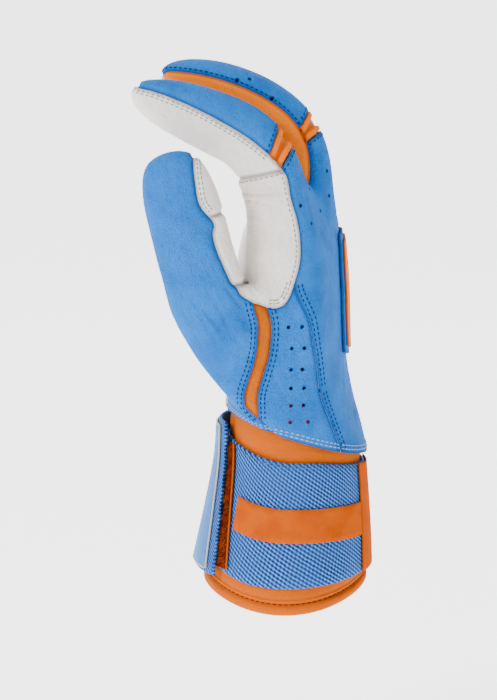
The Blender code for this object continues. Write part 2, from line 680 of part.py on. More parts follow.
class Shell:
    """The hand's skin, cut along its seams, with a panel's name for each face."""

    WEB_SHARE = 0.45

    def __init__(self, level):
        self.bm = smooth_skin(level)
        self.dorsal = self.bm.verts.layers.float["dorsal"]
        self.web = self.bm.verts.layers.float["web"]
        self.wing = wing_measure()
        self.edge = wing_edge()
        self.back_seam = seam_measure(BACK_SEAM)
        self.gusset_right = seam_measure(GUSSET_EDGE)
        self.gusset_left = seam_measure(GUSSET_EDGE, -GUSSET_WIDTH)
        self.thumb = thumb_measure()
        self.notch = notch_measure()
        self.ball = ball_measure()
        self.wing_limit = WING_LIMIT * HAND_HALF_WIDTH
        self.crotch = WING_FOOT[0].height * WEB_HEIGHT
        self.low = [finger_line(f, INSERT_LOW, f.low_angle) for f in FINGERS]
        self.high = [finger_line(f, INSERT_HIGH, f.high_angle) for f in FINGERS]
        self.fold = [finger_line(f, FOLD_POINT, FOLD_ANGLE) for f in FINGERS]
        self.cut_seams()
        self.press_folds()
        self.bm.normal_update()

    def faces(self, test):
        return [face for face in self.bm.faces if test(face, middle_of(face))]

    def is_dorsal(self, face, place):
        """Whether this face of a finger belongs to its back."""
        kind = face.material_index // 10 * 10
        if face.material_index in (FINGER_BACK, FINGER_PALM, FINGER_NEAR):
            return place.x > self.edge(place.z)
        if kind in (FINGER_BACK, FINGER_PALM):
            return kind == FINGER_BACK
        return mean(face, self.dorsal) > 0

    def is_thumb_foot(self, face, place):
        """Whether this face is on the near side of the thumb's root, below the crotch."""
        return face.material_index == THUMB and place.z < self.crotch and face.normal.y < 0.2

    def is_thumb_tube(self, face, place):
        return face.material_index == THUMB and not self.is_thumb_foot(face, place)

    def cut_seams(self):
        bm, web = self.bm, self.web
        bm.normal_update()
        webbed = self.faces(lambda face, _: any(vert[web] > 0 for vert in face.verts))
        share = {vert.co.copy().freeze(): vert[web] for face in webbed for vert in face.verts}
        cut_along(bm, webbed, lambda place: share[place.copy().freeze()] - self.WEB_SHARE, WEB_SNAP)
        hand = (BACK, PALM, THUMB_SIDE)
        index = (FINGER_BACK, FINGER_PALM, FINGER_NEAR)

        def beside_wing(face, place):
            near = face.material_index in hand and place.y < self.wing_limit / 2
            return near or face.material_index in index

        cut_along(bm, self.faces(beside_wing), self.wing)

        def below_wing(face, place):
            side = face.material_index in (BACK, THUMB_SIDE) and place.y < 0 and self.wing(place) < 0
            return side or self.is_thumb_foot(face, place)

        for measure in (self.back_seam, self.gusset_right, self.gusset_left):
            cut_along(bm, self.faces(below_wing), measure)

        def on_palm(face, place):
            low = place.z < BALL_SEAM_HIGH[0] * WEB_HEIGHT
            return low and face.material_index == PALM and place.y < HAND_HALF_WIDTH / 2

        cut_along(bm, self.faces(on_palm), self.ball)

        def on_wing_palm(face, place):
            palms = (PALM, FINGER_PALM)
            return face.material_index in palms and place.z > self.crotch

        cut_along(bm, self.faces(on_wing_palm), lambda place: place.y - self.wing_limit)
        cut_along(bm, self.faces(self.is_thumb_foot), lambda place: place.z - self.crotch)
        cut_along(bm, self.faces(self.is_thumb_tube), self.thumb)

        def on_strip(face, place):
            return self.is_thumb_tube(face, place) and self.thumb(place) > 0

        cut_along(bm, self.faces(on_strip), self.notch)
        for number in range(len(FINGERS)):
            self.cut_finger(number)

    def cut_finger(self, number):
        def backs(face, place):
            mine = face.material_index >= FINGER_BACK and face.material_index % 10 == number
            return mine and mean(face, self.web) < self.WEB_SHARE and self.is_dorsal(face, place)

        def palms(face, place):
            mine = face.material_index >= FINGER_BACK and face.material_index % 10 == number
            return mine and mean(face, self.web) < self.WEB_SHARE and not self.is_dorsal(face, place)

        low, high, fold = self.low[number], self.high[number], self.fold[number]
        for measure in (low, high, lambda p: low(p) - RIB_WIDTH, lambda p: high(p) + RIB_WIDTH):
            cut_along(self.bm, self.faces(backs), measure)
        cut_along(self.bm, self.faces(palms), fold)

    def press_folds(self):
        """Presses the palm's folds in, at the fingers' knuckles and at the thumb's joint."""
        self.bm.normal_update()
        reach = FOLD_DEPTH * 2
        pressed = {}
        for face in self.bm.faces:
            place = middle_of(face)
            number = face.material_index % 10
            if face.material_index == THUMB:
                measure = self.notch if self.thumb(place) > 0 else None
            elif face.material_index >= FINGER_BACK and not self.is_dorsal(face, place):
                measure = self.fold[number] if mean(face, self.web) < self.WEB_SHARE else None
            else:
                measure = None
            for vert in face.verts if measure else ():
                near = abs(measure(vert.co))
                if near < reach:
                    pressed[vert] = FOLD_DEPTH * (1 - near / reach) ** 2
        for vert, depth in pressed.items():
            vert.co -= vert.normal * depth

    def panel_of(self, face):
        tag, place = face.material_index, middle_of(face)
        if mean(face, self.web) > self.WEB_SHARE:
            gaps = [(a.across + b.across) / 2 * HAND_HALF_WIDTH for a, b in zip(FINGERS, FINGERS[1:])]
            number = min(range(len(gaps)), key=lambda n: abs(gaps[n] - place.y))
            return FINGERS[number].name + "_" + FINGERS[number + 1].name + "_fourchette"
        if self.is_thumb_tube(face, place):
            if self.thumb(place) < 0 or place.z < self.crotch:
                return "thumb_panel"
            return "thumb_strip_upper" if self.notch(place) > 0 else "thumb_strip_lower"
        if tag >= FINGER_BACK:
            return self.finger_panel(face, place)
        if tag == LITTLE_SIDE:
            return "back_panel" if mean(face, self.dorsal) > 0 else "palm"
        if tag == BACK and place.y > self.wing_limit / 2:
            return "back_panel"
        if tag == PALM:
            if self.ball(place) < 0 and self.wing(place) < 0:
                return "thumb_panel"
            return self.pale_panel(place)
        if self.wing(place) > 0:
            return self.pale_panel(place)
        if self.back_seam(place) > 0:
            return "back_panel"
        if self.gusset_right(place) > 0:
            return "side_panel"
        return "thumb_gusset" if self.gusset_left(place) > 0 else "thumb_panel"

    def pale_panel(self, place):
        above = place.z > self.crotch or place.x > WING_FOOT[0].dorsal * HAND_HALF_DEPTH
        return "web_wing" if place.y < self.wing_limit and above else "palm"

    def finger_panel(self, face, place):
        number = face.material_index % 10
        name = FINGERS[number].name
        if not self.is_dorsal(face, place):
            return name + "_pad" if self.fold[number](place) > 0 else self.pale_panel(place)
        if self.low[number](place) < 0:
            return "back_panel"
        return name + "_back" if self.high[number](place) > 0 else name + "_knuckle_insert"


def name_panels(shell):
    """The faces of each panel. A stray patch joins the panel that surrounds it."""
    names = {face: shell.panel_of(face) for face in shell.bm.faces}
    for _ in range(3):
        islands = islands_of(names)
        largest = {}
        for island in islands:
            name = names[island[0]]
            area = sum(face.calc_area() for face in island)
            if area > largest.get(name, (0, None))[0]:
                largest[name] = (area, island)
        for island in islands:
            name = names[island[0]]
            if largest[name][1] is island:
                continue
            inside = set(island)
            around = {}
            for face in island:
                for edge in face.edges:
                    for other in edge.link_faces:
                        if other not in inside:
                            around[names[other]] = around.get(names[other], 0) + edge.calc_length()
            taker = max(around, key=around.get)
            for face in island:
                names[face] = taker
    panels = {}
    for face, name in names.items():
        panels.setdefault(name, []).append(face)
    return panels


def islands_of(names):
    """Groups of faces that share edges and a name."""
    left, islands = set(names), []
    while left:
        start = left.pop()
        island, queue = [start], [start]
        while queue:
            face = queue.pop()
            for edge in face.edges:
                for other in edge.link_faces:
                    if other in left and names[other] == names[face]:
                        left.remove(other)
                        island.append(other)
                        queue.append(other)
        islands.append(island)
    return islands


def copy_panel(faces):
    """A new mesh of these faces, which keeps the shell's own normals."""
    bm = bmesh.new()
    outward = bm.verts.layers.float_vector.new("outward")
    copies = {}
    for face in faces:
        for vert in face.verts:
            if vert not in copies:
                copies[vert] = bm.verts.new(vert.co)
                copies[vert][outward] = vert.normal
        bm.faces.new([copies[vert] for vert in face.verts])
    bm.normal_update()
    return bm, outward


def draw_in_edges(bm, distance):
    """Moves the open edges of a panel inwards, within its surface."""
    moves = {}
    for edge in bm.edges:
        if len(edge.link_faces) != 1:
            continue
        face = edge.link_faces[0]
        along = edge.verts[1].co - edge.verts[0].co
        inward = face.normal.cross(along)
        if inward.length < 1e-9:
            continue
        inward.normalize()
        if inward.dot(middle_of(face) - edge.verts[0].co) < 0:
            inward.negate()
        for vert in edge.verts:
            moves.setdefault(vert, []).append(inward)
    for vert, ways in moves.items():
        way = sum(ways, Vector()).normalized()
        lean = max(0.5, min(way.dot(other) for other in ways))
        vert.co += way * distance / lean


def shell_piece(name, finish, faces, wall, recess=None):
    """A leather panel: the skin's faces with a wall behind them."""
    bm, outward = copy_panel(faces)
    draw_in_edges(bm, SEAM_GAP / 2)
    if recess:
        bm.normal_update()
        floor = [face for face in bm.faces if recess(middle_of(face))]
        bmesh.ops.inset_region(
            bm,
            faces=floor,
            thickness=RECESS / 2,
            depth=-RECESS,
            use_boundary=True,
            use_even_offset=True,
        )
        bm.normal_update()
        for vert in bm.verts:
            if vert[outward].length < 0.5:
                vert[outward] = vert.normal
    made = bmesh.ops.extrude_face_region(bm, geom=bm.faces[:])["geom"]
    for item in made:
        if isinstance(item, bmesh.types.BMVert):
            item.co -= item[outward] * wall
    return object_from(bm, name, finish)


PALE = ("palm", "web_wing", "thumb_strip_upper", "thumb_strip_lower")


def finish_of(name):
    if name in PALE or name.endswith("_pad"):
        return "pale_leather"
    if name == "thumb_gusset" or name.endswith(("_fourchette", "_insert")):
        return "orange_fabric"
    return "blue_leather"


def build_shell():
    shell = Shell(SKIN_LEVEL)
    for name, faces in sorted(name_panels(shell).items()):
        recess = None
        if name.endswith("_insert"):
            number = [finger.name for finger in FINGERS].index(name.split("_")[0])
            low, high = shell.low[number], shell.high[number]
            recess = lambda place, low=low, high=high: low(place) > RIB_WIDTH and high(place) < -RIB_WIDTH
        obj = shell_piece(name, finish_of(name), faces, LEATHER, recess)
        if name == "side_panel":
            pierce(obj, BVHTree.FromBMesh(shell.bm))
    return shell


def pierce(obj, tree):
    """Cuts the side panel's holes, square to the leather, with one cutter that stays hidden."""
    bm = bmesh.new()
    for row in SIDE_HOLES:
        height = blend(HEM_HEIGHT, WEB_HEIGHT, row.height)
        for dorsal in (row.front, row.rear):
            start = Vector((dorsal * HAND_HALF_DEPTH, -2 * HAND_HALF_WIDTH, height))
            place, normal, _, _ = tree.ray_cast(start, Vector((0, 1, 0)))
            turn = normal.to_track_quat("Z", "Y").to_matrix().to_4x4()
            turn.translation = place
            bmesh.ops.create_cone(
                bm,
                cap_ends=True,
                segments=HOLE_SIDES,
                radius1=HOLE_WIDTH / 2,
                radius2=HOLE_WIDTH / 2,
                depth=LEATHER * 5,
                matrix=turn,
            )
    cutter = object_from(bm, "hole_cutter", "blue_leather")
    cutter.hide_render = True
    cutter.display_type = "WIRE"
    cut = obj.modifiers.new("holes", "BOOLEAN")
    cut.operation = "DIFFERENCE"
    cut.object = cutter


# The wrist


def wall_round(name, finish, angles, profile, closed=False):
    """A wall round the wrist: a closed profile that is carried from angle to angle."""
    bm = bmesh.new()
    first_places = profile(angles[0])
    first = bmesh.ops.create_circle(bm, segments=len(first_places), radius=WRIST_HALF_DEPTH)["verts"]
    for vert, place in zip(first, first_places):
        vert.co = place
    loop = first
    tags = [0] * len(first)
    for angle in angles[1:]:
        loop = extrude_loop(bm, loop, profile(angle), tags)
    ends = [
        [bm.edges.get(pair) for pair in zip(ring, ring[1:] + ring[:1])] for ring in (first, loop)
    ]
    if closed:
        bmesh.ops.bridge_loops(bm, edges=ends[0] + ends[1])
    else:
        for edges in ends:
            bmesh.ops.contextual_create(bm, geom=edges)
    return object_from(bm, name, finish)


def spread(start, end, count):
    return [blend(start, end, number / (count - 1)) for number in range(count)]


def plain_profile(low, high, out, wall, rows=5, lean=0.0):
    """A profile of a plain band, whose lower and upper edges follow functions of the angle."""

    def profile(angle):
        heights = spread(low(angle), high(angle), rows)
        middle, half = (heights[0] + heights[-1]) / 2, (heights[-1] - heights[0]) / 2

        def point(height, depth):
            return wrist_point(angle + lean * (height - middle) / half, height, depth)

        inner = [point(height, out) for height in heights]
        outer = [point(height, out + wall) for height in heights]
        return inner + outer[::-1]

    return profile


def round_angles():
    turn = 2 * math.pi / WRIST_SIDES
    return [turn * side for side in range(WRIST_SIDES)]


def spread_degrees(start, end, count):
    return spread(math.radians(start), math.radians(end), count)


def cuff_foot(angle):
    return CUFF_DIP * math.sin(angle) ** 2


def build_cuff():
    def profile(angle):
        foot = cuff_foot(angle)
        top = hem_point(angle, 0.0, LAP).z
        places = [wrist_point(angle, foot + up * BINDING, out * CUFF_WALL) for up, out in BINDING_PROFILE]
        heights = spread(foot + BINDING_PROFILE[-1][0] * BINDING, top, 5)
        places += [wrist_point(angle, height, 0.0) for height in heights[1:]]
        places += [wrist_point(angle, height, -CUFF_WALL) for height in spread(top, foot, 5)]
        return places

    wall_round("cuff", "orange_fabric", round_angles(), profile, closed=True)


def strap_foot(angle):
    side = math.sin(angle)
    lift = STRAP_PALM_LIFT * side**3 if side > 0 else STRAP_BACK_LIFT * side**2
    return STRAP_FOOT + lift


def strap_top(angle):
    rise = STRAP_PALM_RISE if math.sin(angle) > 0 else -STRAP_BACK_FALL
    return STRAP_FOOT + STRAP_HEIGHT + rise * math.sin(angle) ** 2


def build_strap():
    out = LAYER_GAP
    band = plain_profile(strap_foot, strap_top, out, STRAP_WALL)
    wall_round("strap", "blue_webbing", round_angles(), band, closed=True)
    out += STRAP_WALL + LAYER_GAP

    def stripe_low(angle):
        return blend(strap_foot(angle), strap_top(angle), 0.5) - STRIPE_WIDTH / 2

    def stripe_high(angle):
        return stripe_low(angle) + STRIPE_WIDTH

    stripe = plain_profile(stripe_low, stripe_high, out, STRIPE_WALL, 3)
    wall_round("strap_stripe", "orange_print", spread_degrees(STRIPE_START, STRIPE_END, 10), stripe)
    panel = plain_profile(strap_foot, strap_top, out, STRIPE_WALL)
    wall_round("strap_panel", "orange_print", spread_degrees(PANEL_START, PANEL_END, 5), panel)
    return out


def build_tab(out):
    lean = math.radians(TAB_LEAN)
    start = math.radians(TAB_START)

    def low(angle):
        return STRAP_FOOT + TAB_LIFT

    def high(angle):
        return STRAP_FOOT + STRAP_HEIGHT + TAB_OVER

    def hook_high(angle):
        return strap_top(start)

    def hook_low(angle):
        return strap_foot(start)

    hook_start = start - HOOK_WIDTH / WRIST_HALF_WIDTH
    hook = plain_profile(hook_low, hook_high, out, HOOK_WALL, lean=lean)
    wall_round("hook_strip", "hook_tape", spread(hook_start, math.radians(HOOK_END), 6), hook)
    out += HOOK_WALL + LAYER_GAP
    tab = plain_profile(low, high, out, TAB_WALL, lean=lean)
    wall_round("tab", "blue_webbing", spread_degrees(TAB_START, TAB_END, 11), tab)
    out += TAB_WALL + LAYER_GAP

    def patch_low(angle):
        return low(angle) + TAB_BORDER

    def patch_high(angle):
        return high(angle) - TAB_BORDER

    patch = plain_profile(patch_low, patch_high, out, STRIPE_WALL, lean=lean)
    wall_round("tab_patch", "pale_blue_patch", spread_degrees(TAB_PATCH_START, TAB_PATCH_END, 10), patch)


def build_patch(shell):
    """The raised patch on the back of the hand: a plate with a plain face, both laid on the leather."""
    tree = BVHTree.FromBMesh(shell.bm)

    def plate(name, finish, width, height, out, wall):
        bm = bmesh.new()
        grid = bmesh.ops.create_grid(bm, x_segments=PATCH_COLUMNS, y_segments=PATCH_ROWS, size=0.5)["verts"]
        for vert in grid:
            y = vert.co.x * width
            z = PATCH_MIDDLE + vert.co.y * height
            place, normal, _, _ = tree.ray_cast(Vector((HAND_HALF_DEPTH * 3, y, z)), Vector((-1, 0, 0)))
            vert.co = place + Vector((out, 0, 0))
        made = bmesh.ops.extrude_face_region(bm, geom=bm.faces[:])["geom"]
        for item in made:
            if isinstance(item, bmesh.types.BMVert):
                item.co.x += wall
        object_from(bm, name, finish)

    lift = LAYER_GAP
    plate("back_patch", "blue_leather", PATCH_WIDTH, PATCH_HEIGHT, lift, PATCH_WALL)
    plate(
        "back_patch_face",
        "orange_fabric",
        PATCH_WIDTH - 2 * PATCH_BORDER,
        PATCH_HEIGHT - 2 * PATCH_BORDER,
        lift + PATCH_WALL + SEAM_GAP,
        PATCH_FACE_WALL,
    )


def main():
    clear_scene()
    shell = build_shell()
    build_patch(shell)
    shell.bm.free()
    build_cuff()
    build_tab(build_strap())


main()
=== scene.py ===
# %% [markdown]
# A batting glove, dressed for its photograph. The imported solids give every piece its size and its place.
# This lesson gives each one the surface of the real thing: soft leather with its grain, folds and seams, a
# padded cuff, a woven strap and a hook strip. The hand's skin is made once, smooth and fine, and is then cut
# along the seams into panels, as a glove maker cuts leather, so neighbours always meet.

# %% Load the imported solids
import math
import random
from collections import namedtuple

import bmesh
import bpy
import numpy as np
from mathutils import Matrix, Vector, noise
from mathutils.bvhtree import BVHTree
from mathutils.kdtree import KDTree


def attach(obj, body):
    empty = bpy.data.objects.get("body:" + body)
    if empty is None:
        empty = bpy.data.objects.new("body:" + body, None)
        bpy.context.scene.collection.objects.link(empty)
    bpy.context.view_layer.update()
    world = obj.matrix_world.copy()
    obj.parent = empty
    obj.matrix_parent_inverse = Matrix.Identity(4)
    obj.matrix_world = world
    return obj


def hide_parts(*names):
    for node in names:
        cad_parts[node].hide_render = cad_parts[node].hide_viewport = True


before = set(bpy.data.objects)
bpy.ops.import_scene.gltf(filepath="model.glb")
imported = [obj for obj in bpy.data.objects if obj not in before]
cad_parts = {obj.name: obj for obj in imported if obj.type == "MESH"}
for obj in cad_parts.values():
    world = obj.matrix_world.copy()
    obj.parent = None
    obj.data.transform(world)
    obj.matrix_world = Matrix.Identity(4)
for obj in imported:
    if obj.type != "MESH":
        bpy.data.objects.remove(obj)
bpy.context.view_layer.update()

# %% [markdown]
# The camera looks at the thumb side of the glove from a little above, through a long lens, so that the
# glove keeps its true proportions. It could be placed by eye, but here it was worked out from the glove's
# known size: one metre away, and aimed at the middle of the photograph.

# %% Place the camera
MM = 0.001
CAMERA_AIM = Vector((-0.0146, 0, 0.0988))
CAMERA_DISTANCE = 1.0
CAMERA_ELEVATION = math.radians(8)
CAMERA_LENS = 128.6

camera = bpy.data.objects.new("camera", bpy.data.cameras.new("camera"))
camera.data.lens = CAMERA_LENS
way_to_camera = Vector((0, -math.cos(CAMERA_ELEVATION), math.sin(CAMERA_ELEVATION)))
camera.location = CAMERA_AIM + way_to_camera * CAMERA_DISTANCE
camera.rotation_euler = (math.radians(90) - CAMERA_ELEVATION, 0, 0)
bpy.context.scene.collection.objects.link(camera)
bpy.context.scene.camera = camera
print("camera at", camera.location[:])

# %% [markdown]
# A studio for a soft product picture has a pale floor that runs up into a pale wall without a corner, and
# large lamps. Small lamps would give hard shadows, which hide the leather's grain. One big lamp stands in
# front and to the left, a weaker one on the right fills the shadows, and one above lights the knuckles.
# The floor glows a little, like a lit table, so that it comes out as white as in a catalogue.

# %% Build the floor and hang the lamps
FLOOR_HEIGHT = -0.075
FLOOR_HALF_WIDTH = 3.0
FLOOR_FRONT = 3.0
WALL_DISTANCE = 1.3
WALL_HEIGHT = 3.0
SWEEP_STEPS = 12
SWEEP_STEP = 0.08
FLOOR_GLOW = 2.2
AIR_STRENGTH = 0.25


def object_of(name, bm):
    """An object in the scene, made of a bmesh that is freed."""
    mesh = bpy.data.meshes.new(name)
    bm.to_mesh(mesh)
    bm.free()
    made = bpy.data.objects.new(name, mesh)
    bpy.context.scene.collection.objects.link(made)
    return made


def build_floor():
    """A floor that turns up into a wall: one edge carried back, round a quarter turn, and up."""
    bm = bmesh.new()
    ends = [bm.verts.new((side * FLOOR_HALF_WIDTH, -FLOOR_FRONT, FLOOR_HEIGHT)) for side in (-1, 1)]
    edge = bm.edges.new(ends)

    def carry(geometry, way):
        made = bmesh.ops.extrude_edge_only(bm, edges=geometry)["geom"]
        fresh = [item for item in made if isinstance(item, bmesh.types.BMVert)]
        bmesh.ops.translate(bm, verts=fresh, vec=way)
        made_edges = [item for item in made if isinstance(item, bmesh.types.BMEdge)]
        return [edge for edge in made_edges if set(edge.verts) == set(fresh)]

    edges = carry([edge], Vector((0, FLOOR_FRONT + WALL_DISTANCE, 0)))
    for step in range(SWEEP_STEPS):
        turn = math.pi / 2 * (step + 0.5) / SWEEP_STEPS
        edges = carry(edges, Vector((0, math.cos(turn), math.sin(turn))) * SWEEP_STEP)
    carry(edges, Vector((0, 0, WALL_HEIGHT)))
    bmesh.ops.recalc_face_normals(bm, faces=bm.faces)
    floor = object_of("floor", bm)
    floor.data.shade_smooth()
    paint = bpy.data.materials.new("pale_floor")
    paint.use_nodes = True
    sockets = paint.node_tree.nodes["Principled BSDF"].inputs
    sockets["Base Color"].default_value = (0.95, 0.95, 0.95, 1)
    sockets["Roughness"].default_value = 0.9
    sockets["Emission Color"].default_value = (1, 1, 1, 1)
    sockets["Emission Strength"].default_value = FLOOR_GLOW
    floor.data.materials.append(paint)


def hang_lamp(name, place, size, power):
    lamp = bpy.data.objects.new(name, bpy.data.lights.new(name, "AREA"))
    lamp.data.shape = "DISK"
    lamp.data.size = size
    lamp.data.energy = power
    lamp.location = place
    lamp.rotation_euler = (CAMERA_AIM - Vector(place)).to_track_quat("-Z", "Y").to_euler()
    bpy.context.scene.collection.objects.link(lamp)


build_floor()
hang_lamp("key_lamp", place=(-1.05, -0.90, 0.85), size=0.45, power=26)
hang_lamp("fill_lamp", place=(0.95, -0.9, 0.35), size=1.0, power=4)
hang_lamp("top_lamp", place=(-0.1, -0.1, 1.2), size=0.9, power=11)
world = bpy.data.worlds.new("studio_air")
world.use_nodes = True
world.node_tree.nodes["Background"].inputs["Color"].default_value = (1, 1, 1, 1)
world.node_tree.nodes["Background"].inputs["Strength"].default_value = AIR_STRENGTH
bpy.context.scene.world = world
print("lamps:", [item.name for item in bpy.context.scene.objects if item.type == "LIGHT"])

# %% [markdown]
# The hand inside the glove sets its form: the palm, four bent fingers and a thumb. A sculptor could push
# clay about, but a control cage is easier to read and to change. It is a coarse mesh of rings that follow
# the hand, and Subdivision Surface makes it smooth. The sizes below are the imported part's own sizes.

# %% Sizes of the hand
WEB_HEIGHT = 0.164
HAND_HALF_WIDTH = 0.044
HAND_HALF_DEPTH = 0.022
FINGER_WIDTH = 0.0202
FINGER_DEPTH = 0.0246
FINGER_REACH = 0.056
FINGER_RISE = 0.0430
THUMB_LENGTH = 0.0815
THUMB_WIDTH = 0.0290
THUMB_DEPTH = 0.0230
HEM_HEIGHT = 0.0690
HEM_SLOPE = 0.31
HEM_OUT = 0.0036
WRIST_HALF_DEPTH = 0.025
WRIST_HALF_WIDTH = 0.032

SKIN_LEVEL = 4
CAGE_SWELL = 1.079
CORNER = 0.78
COLUMNS = 9
SIDE_BULGE = 0.05
BACK_WEB = 0.32
PALM_WEB = 0.30

HandRing = namedtuple("HandRing", "height width back_thumb back back_little palm_thumb palm palm_little")
HAND_RINGS = (
    HandRing(0.543, 0.88, 0.52, 1.12, 0.62, -1.30, -1.02, -0.75),
    HandRing(0.665, 0.95, 0.46, 1.08, 0.60, -1.05, -0.95, -0.80),
    HandRing(0.787, 1.00, 0.42, 1.04, 0.60, -0.66, -0.90, -0.80),
    HandRing(0.896, 1.00, 0.42, 0.98, 0.55, -0.50, -0.80, -0.70),
)

FingerRow = namedtuple("FingerRow", "name reach rise depth width seam")
FINGER_ROWS = (
    FingerRow("web", 0.000, 0.000, 0.94, 1.00, 0.50),
    FingerRow("first", 0.030, 0.235, 0.98, 0.98, 0.42),
    FingerRow("knuckle", 0.125, 0.485, 1.00, 1.00, 0.08),
    FingerRow("second", 0.300, 0.640, 0.98, 0.98, 0.10),
    FingerRow("middle", 0.570, 0.795, 0.91, 0.96, 0.24),
    FingerRow("pad", 0.820, 0.915, 0.68, 0.88, 0.40),
    FingerRow("tip", 0.950, 0.985, 0.36, 0.62, 0.50),
)
FINGER_END = (1.0, 1.0)

Finger = namedtuple("Finger", "name across base height reach rise arch girth low_angle high_angle")
FINGERS = (
    Finger("index", -0.750, -0.200, 0.988, 1.00, 0.960, 0.00, 1.00, 60, 71),
    Finger("middle", -0.250, 0.330, 1.010, 1.03, 1.000, 0.12, 1.00, 37, 62),
    Finger("ring", 0.250, 0.220, 0.994, 0.90, 0.930, 0.04, 0.96, 37, 62),
    Finger("pinky", 0.725, -0.050, 0.945, 0.66, 0.930, 0.00, 0.88, 37, 62),
)

THUMB_BASE = (-0.909, -0.818, 0.634)
ThumbRow = namedtuple("ThumbRow", "dorsal up across width depth tilt")
THUMB_ROWS = (
    ThumbRow(-0.105, 0.190, -0.080, 1.10, 1.00, 34),
    ThumbRow(-0.160, 0.385, -0.125, 1.01, 1.00, 18),
    ThumbRow(-0.205, 0.560, -0.155, 0.99, 0.96, 15),
    ThumbRow(-0.243, 0.715, -0.175, 0.97, 0.92, 13),
    ThumbRow(-0.280, 0.850, -0.187, 0.86, 0.76, 12),
    ThumbRow(-0.300, 0.925, -0.192, 0.56, 0.48, 12),
)
THUMB_END = (-0.307, 0.960, -0.193)

WristRow = namedtuple("WristRow", "height middle depth width")
WRIST_ROWS = (
    WristRow(0.00, -0.02, 1.30, 1.31),
    WristRow(0.20, 0.03, 1.27, 1.27),
    WristRow(0.50, 0.10, 1.16, 1.15),
    WristRow(0.80, 0.15, 1.05, 1.05),
    WristRow(1.02, 0.15, 1.00, 1.00),
    WristRow(1.20, 0.15, 0.96, 0.96),
)

BACK, PALM, THUMB_SIDE, LITTLE_SIDE, THUMB = 0, 1, 2, 3, 4
FINGER_BACK, FINGER_PALM, FINGER_NEAR, FINGER_FAR = 10, 20, 30, 40
print("fingers:", [finger.name for finger in FINGERS])

# %% [markdown]
# Curves that pass through a few chosen points serve twice here: for the wrist's sections and for the seams.
# Straight stretches between the points would show as corners, so a smooth spline goes through them.

# %% Smooth curves through chosen points


def blend(a, b, share):
    return a + (b - a) * share


def smooth_line(points, steps=4):
    """The points of a smooth curve through these points, with this many steps to each stretch."""
    ends = [2 * points[0] - points[1]] + list(points) + [2 * points[-1] - points[-2]]
    curve = []
    for a, b, c, d in zip(ends, ends[1:], ends[2:], ends[3:]):
        slope = c - a
        bend = 2 * a - 5 * b + 4 * c - d
        twist = 3 * b - a - 3 * c + d
        for step in range(steps):
            t = step / steps
            curve.append(b + (slope * t + bend * t**2 + twist * t**3) / 2)
    return curve + [points[-1]]


def across_at(points):
    """A function that gives the first coordinate of the curve at a value of its second."""
    curve = sorted(smooth_line(points), key=lambda point: point.y)
    heights = [point.y for point in curve]
    places = [point.x for point in curve]
    return lambda height: float(np.interp(height, heights, places))


def wrist_curve(column, size):
    return across_at([Vector((getattr(row, column) * size, row.height * HEM_HEIGHT)) for row in WRIST_ROWS])


WRIST_MIDDLE = wrist_curve("middle", WRIST_HALF_DEPTH)
WRIST_DEPTH = wrist_curve("depth", WRIST_HALF_DEPTH)
WRIST_WIDTH = wrist_curve("width", WRIST_HALF_WIDTH)


def wrist_point(angle, height, out=0.0):
    """A point round the wrist, at an angle from the thumb side to the palm, this far outside the cuff."""
    x = WRIST_MIDDLE(height) - (WRIST_DEPTH(height) + out) * math.sin(angle)
    return Vector((x, -(WRIST_WIDTH(height) + out) * math.cos(angle), height))


def hem_point(angle, out, rise=0.0):
    """A point round the wrist at the leather's lower edge, which slopes down towards the back."""
    height = HEM_HEIGHT + rise
    for _ in range(3):
        height = HEM_HEIGHT + rise - wrist_point(angle, height, out).x * HEM_SLOPE
    return wrist_point(angle, height, out)


hem_sizes = [WRIST_WIDTH(HEM_HEIGHT) * 2, WRIST_DEPTH(HEM_HEIGHT) * 2]
print("wrist at the hem:", [round(size / MM, 1) for size in hem_sizes], "mm")

# %% [markdown]
# Each ring of the cage is a loop of points. The wrist and the palm have twenty to a ring, a finger and the
# thumb eight. A finger's ring is turned square to its bend, so the finger keeps its thickness round the
# knuckle. Neighbouring fingers share the point between them, and that makes the web.

# %% Rings of the cage


def finger_middle(finger, reach, rise):
    """The middle of a finger at shares of its reach and rise."""
    x = finger.base * HAND_HALF_DEPTH - reach * finger.reach * FINGER_REACH
    z = finger.height * WEB_HEIGHT + rise * finger.rise * FINGER_RISE
    z += finger.arch * FINGER_DEPTH * 4 * reach * (1 - reach)
    return Vector((x, finger.across * HAND_HALF_WIDTH, z))


def finger_frame(finger, row):
    """The middle, the direction of the back, the half depth and the half width of a finger at a row."""
    middles = [finger_middle(finger, r.reach, r.rise) for r in FINGER_ROWS]
    middles.append(finger_middle(finger, *FINGER_END))
    index = FINGER_ROWS.index(row)
    along = (middles[index + 1] - middles[index - 1]).normalized() if index else Vector((0, 0, 1))
    back = Vector((along.z, 0, -along.x))
    half_depth = FINGER_DEPTH / 2 * row.depth * finger.girth
    half_width = FINGER_WIDTH / 2 * row.width * finger.girth
    return middles[index], back, half_depth, half_width


def finger_ring(finger, row):
    """Eight points round a finger: the back, the far side, the palm and the near side."""
    middle, back, half_depth, half_width = finger_frame(finger, row)
    deep = back * half_depth * CAGE_SWELL
    wide = Vector((0, 1, 0)) * half_width * CAGE_SWELL
    shares = ((1, -1), (1, 0), (1, 1), (0, 1), (-1, 1), (-1, 0), (-1, -1), (0, -1))
    return [
        middle + (deep * down + wide * over) * (CORNER if down and over else 1.0) for down, over in shares
    ]


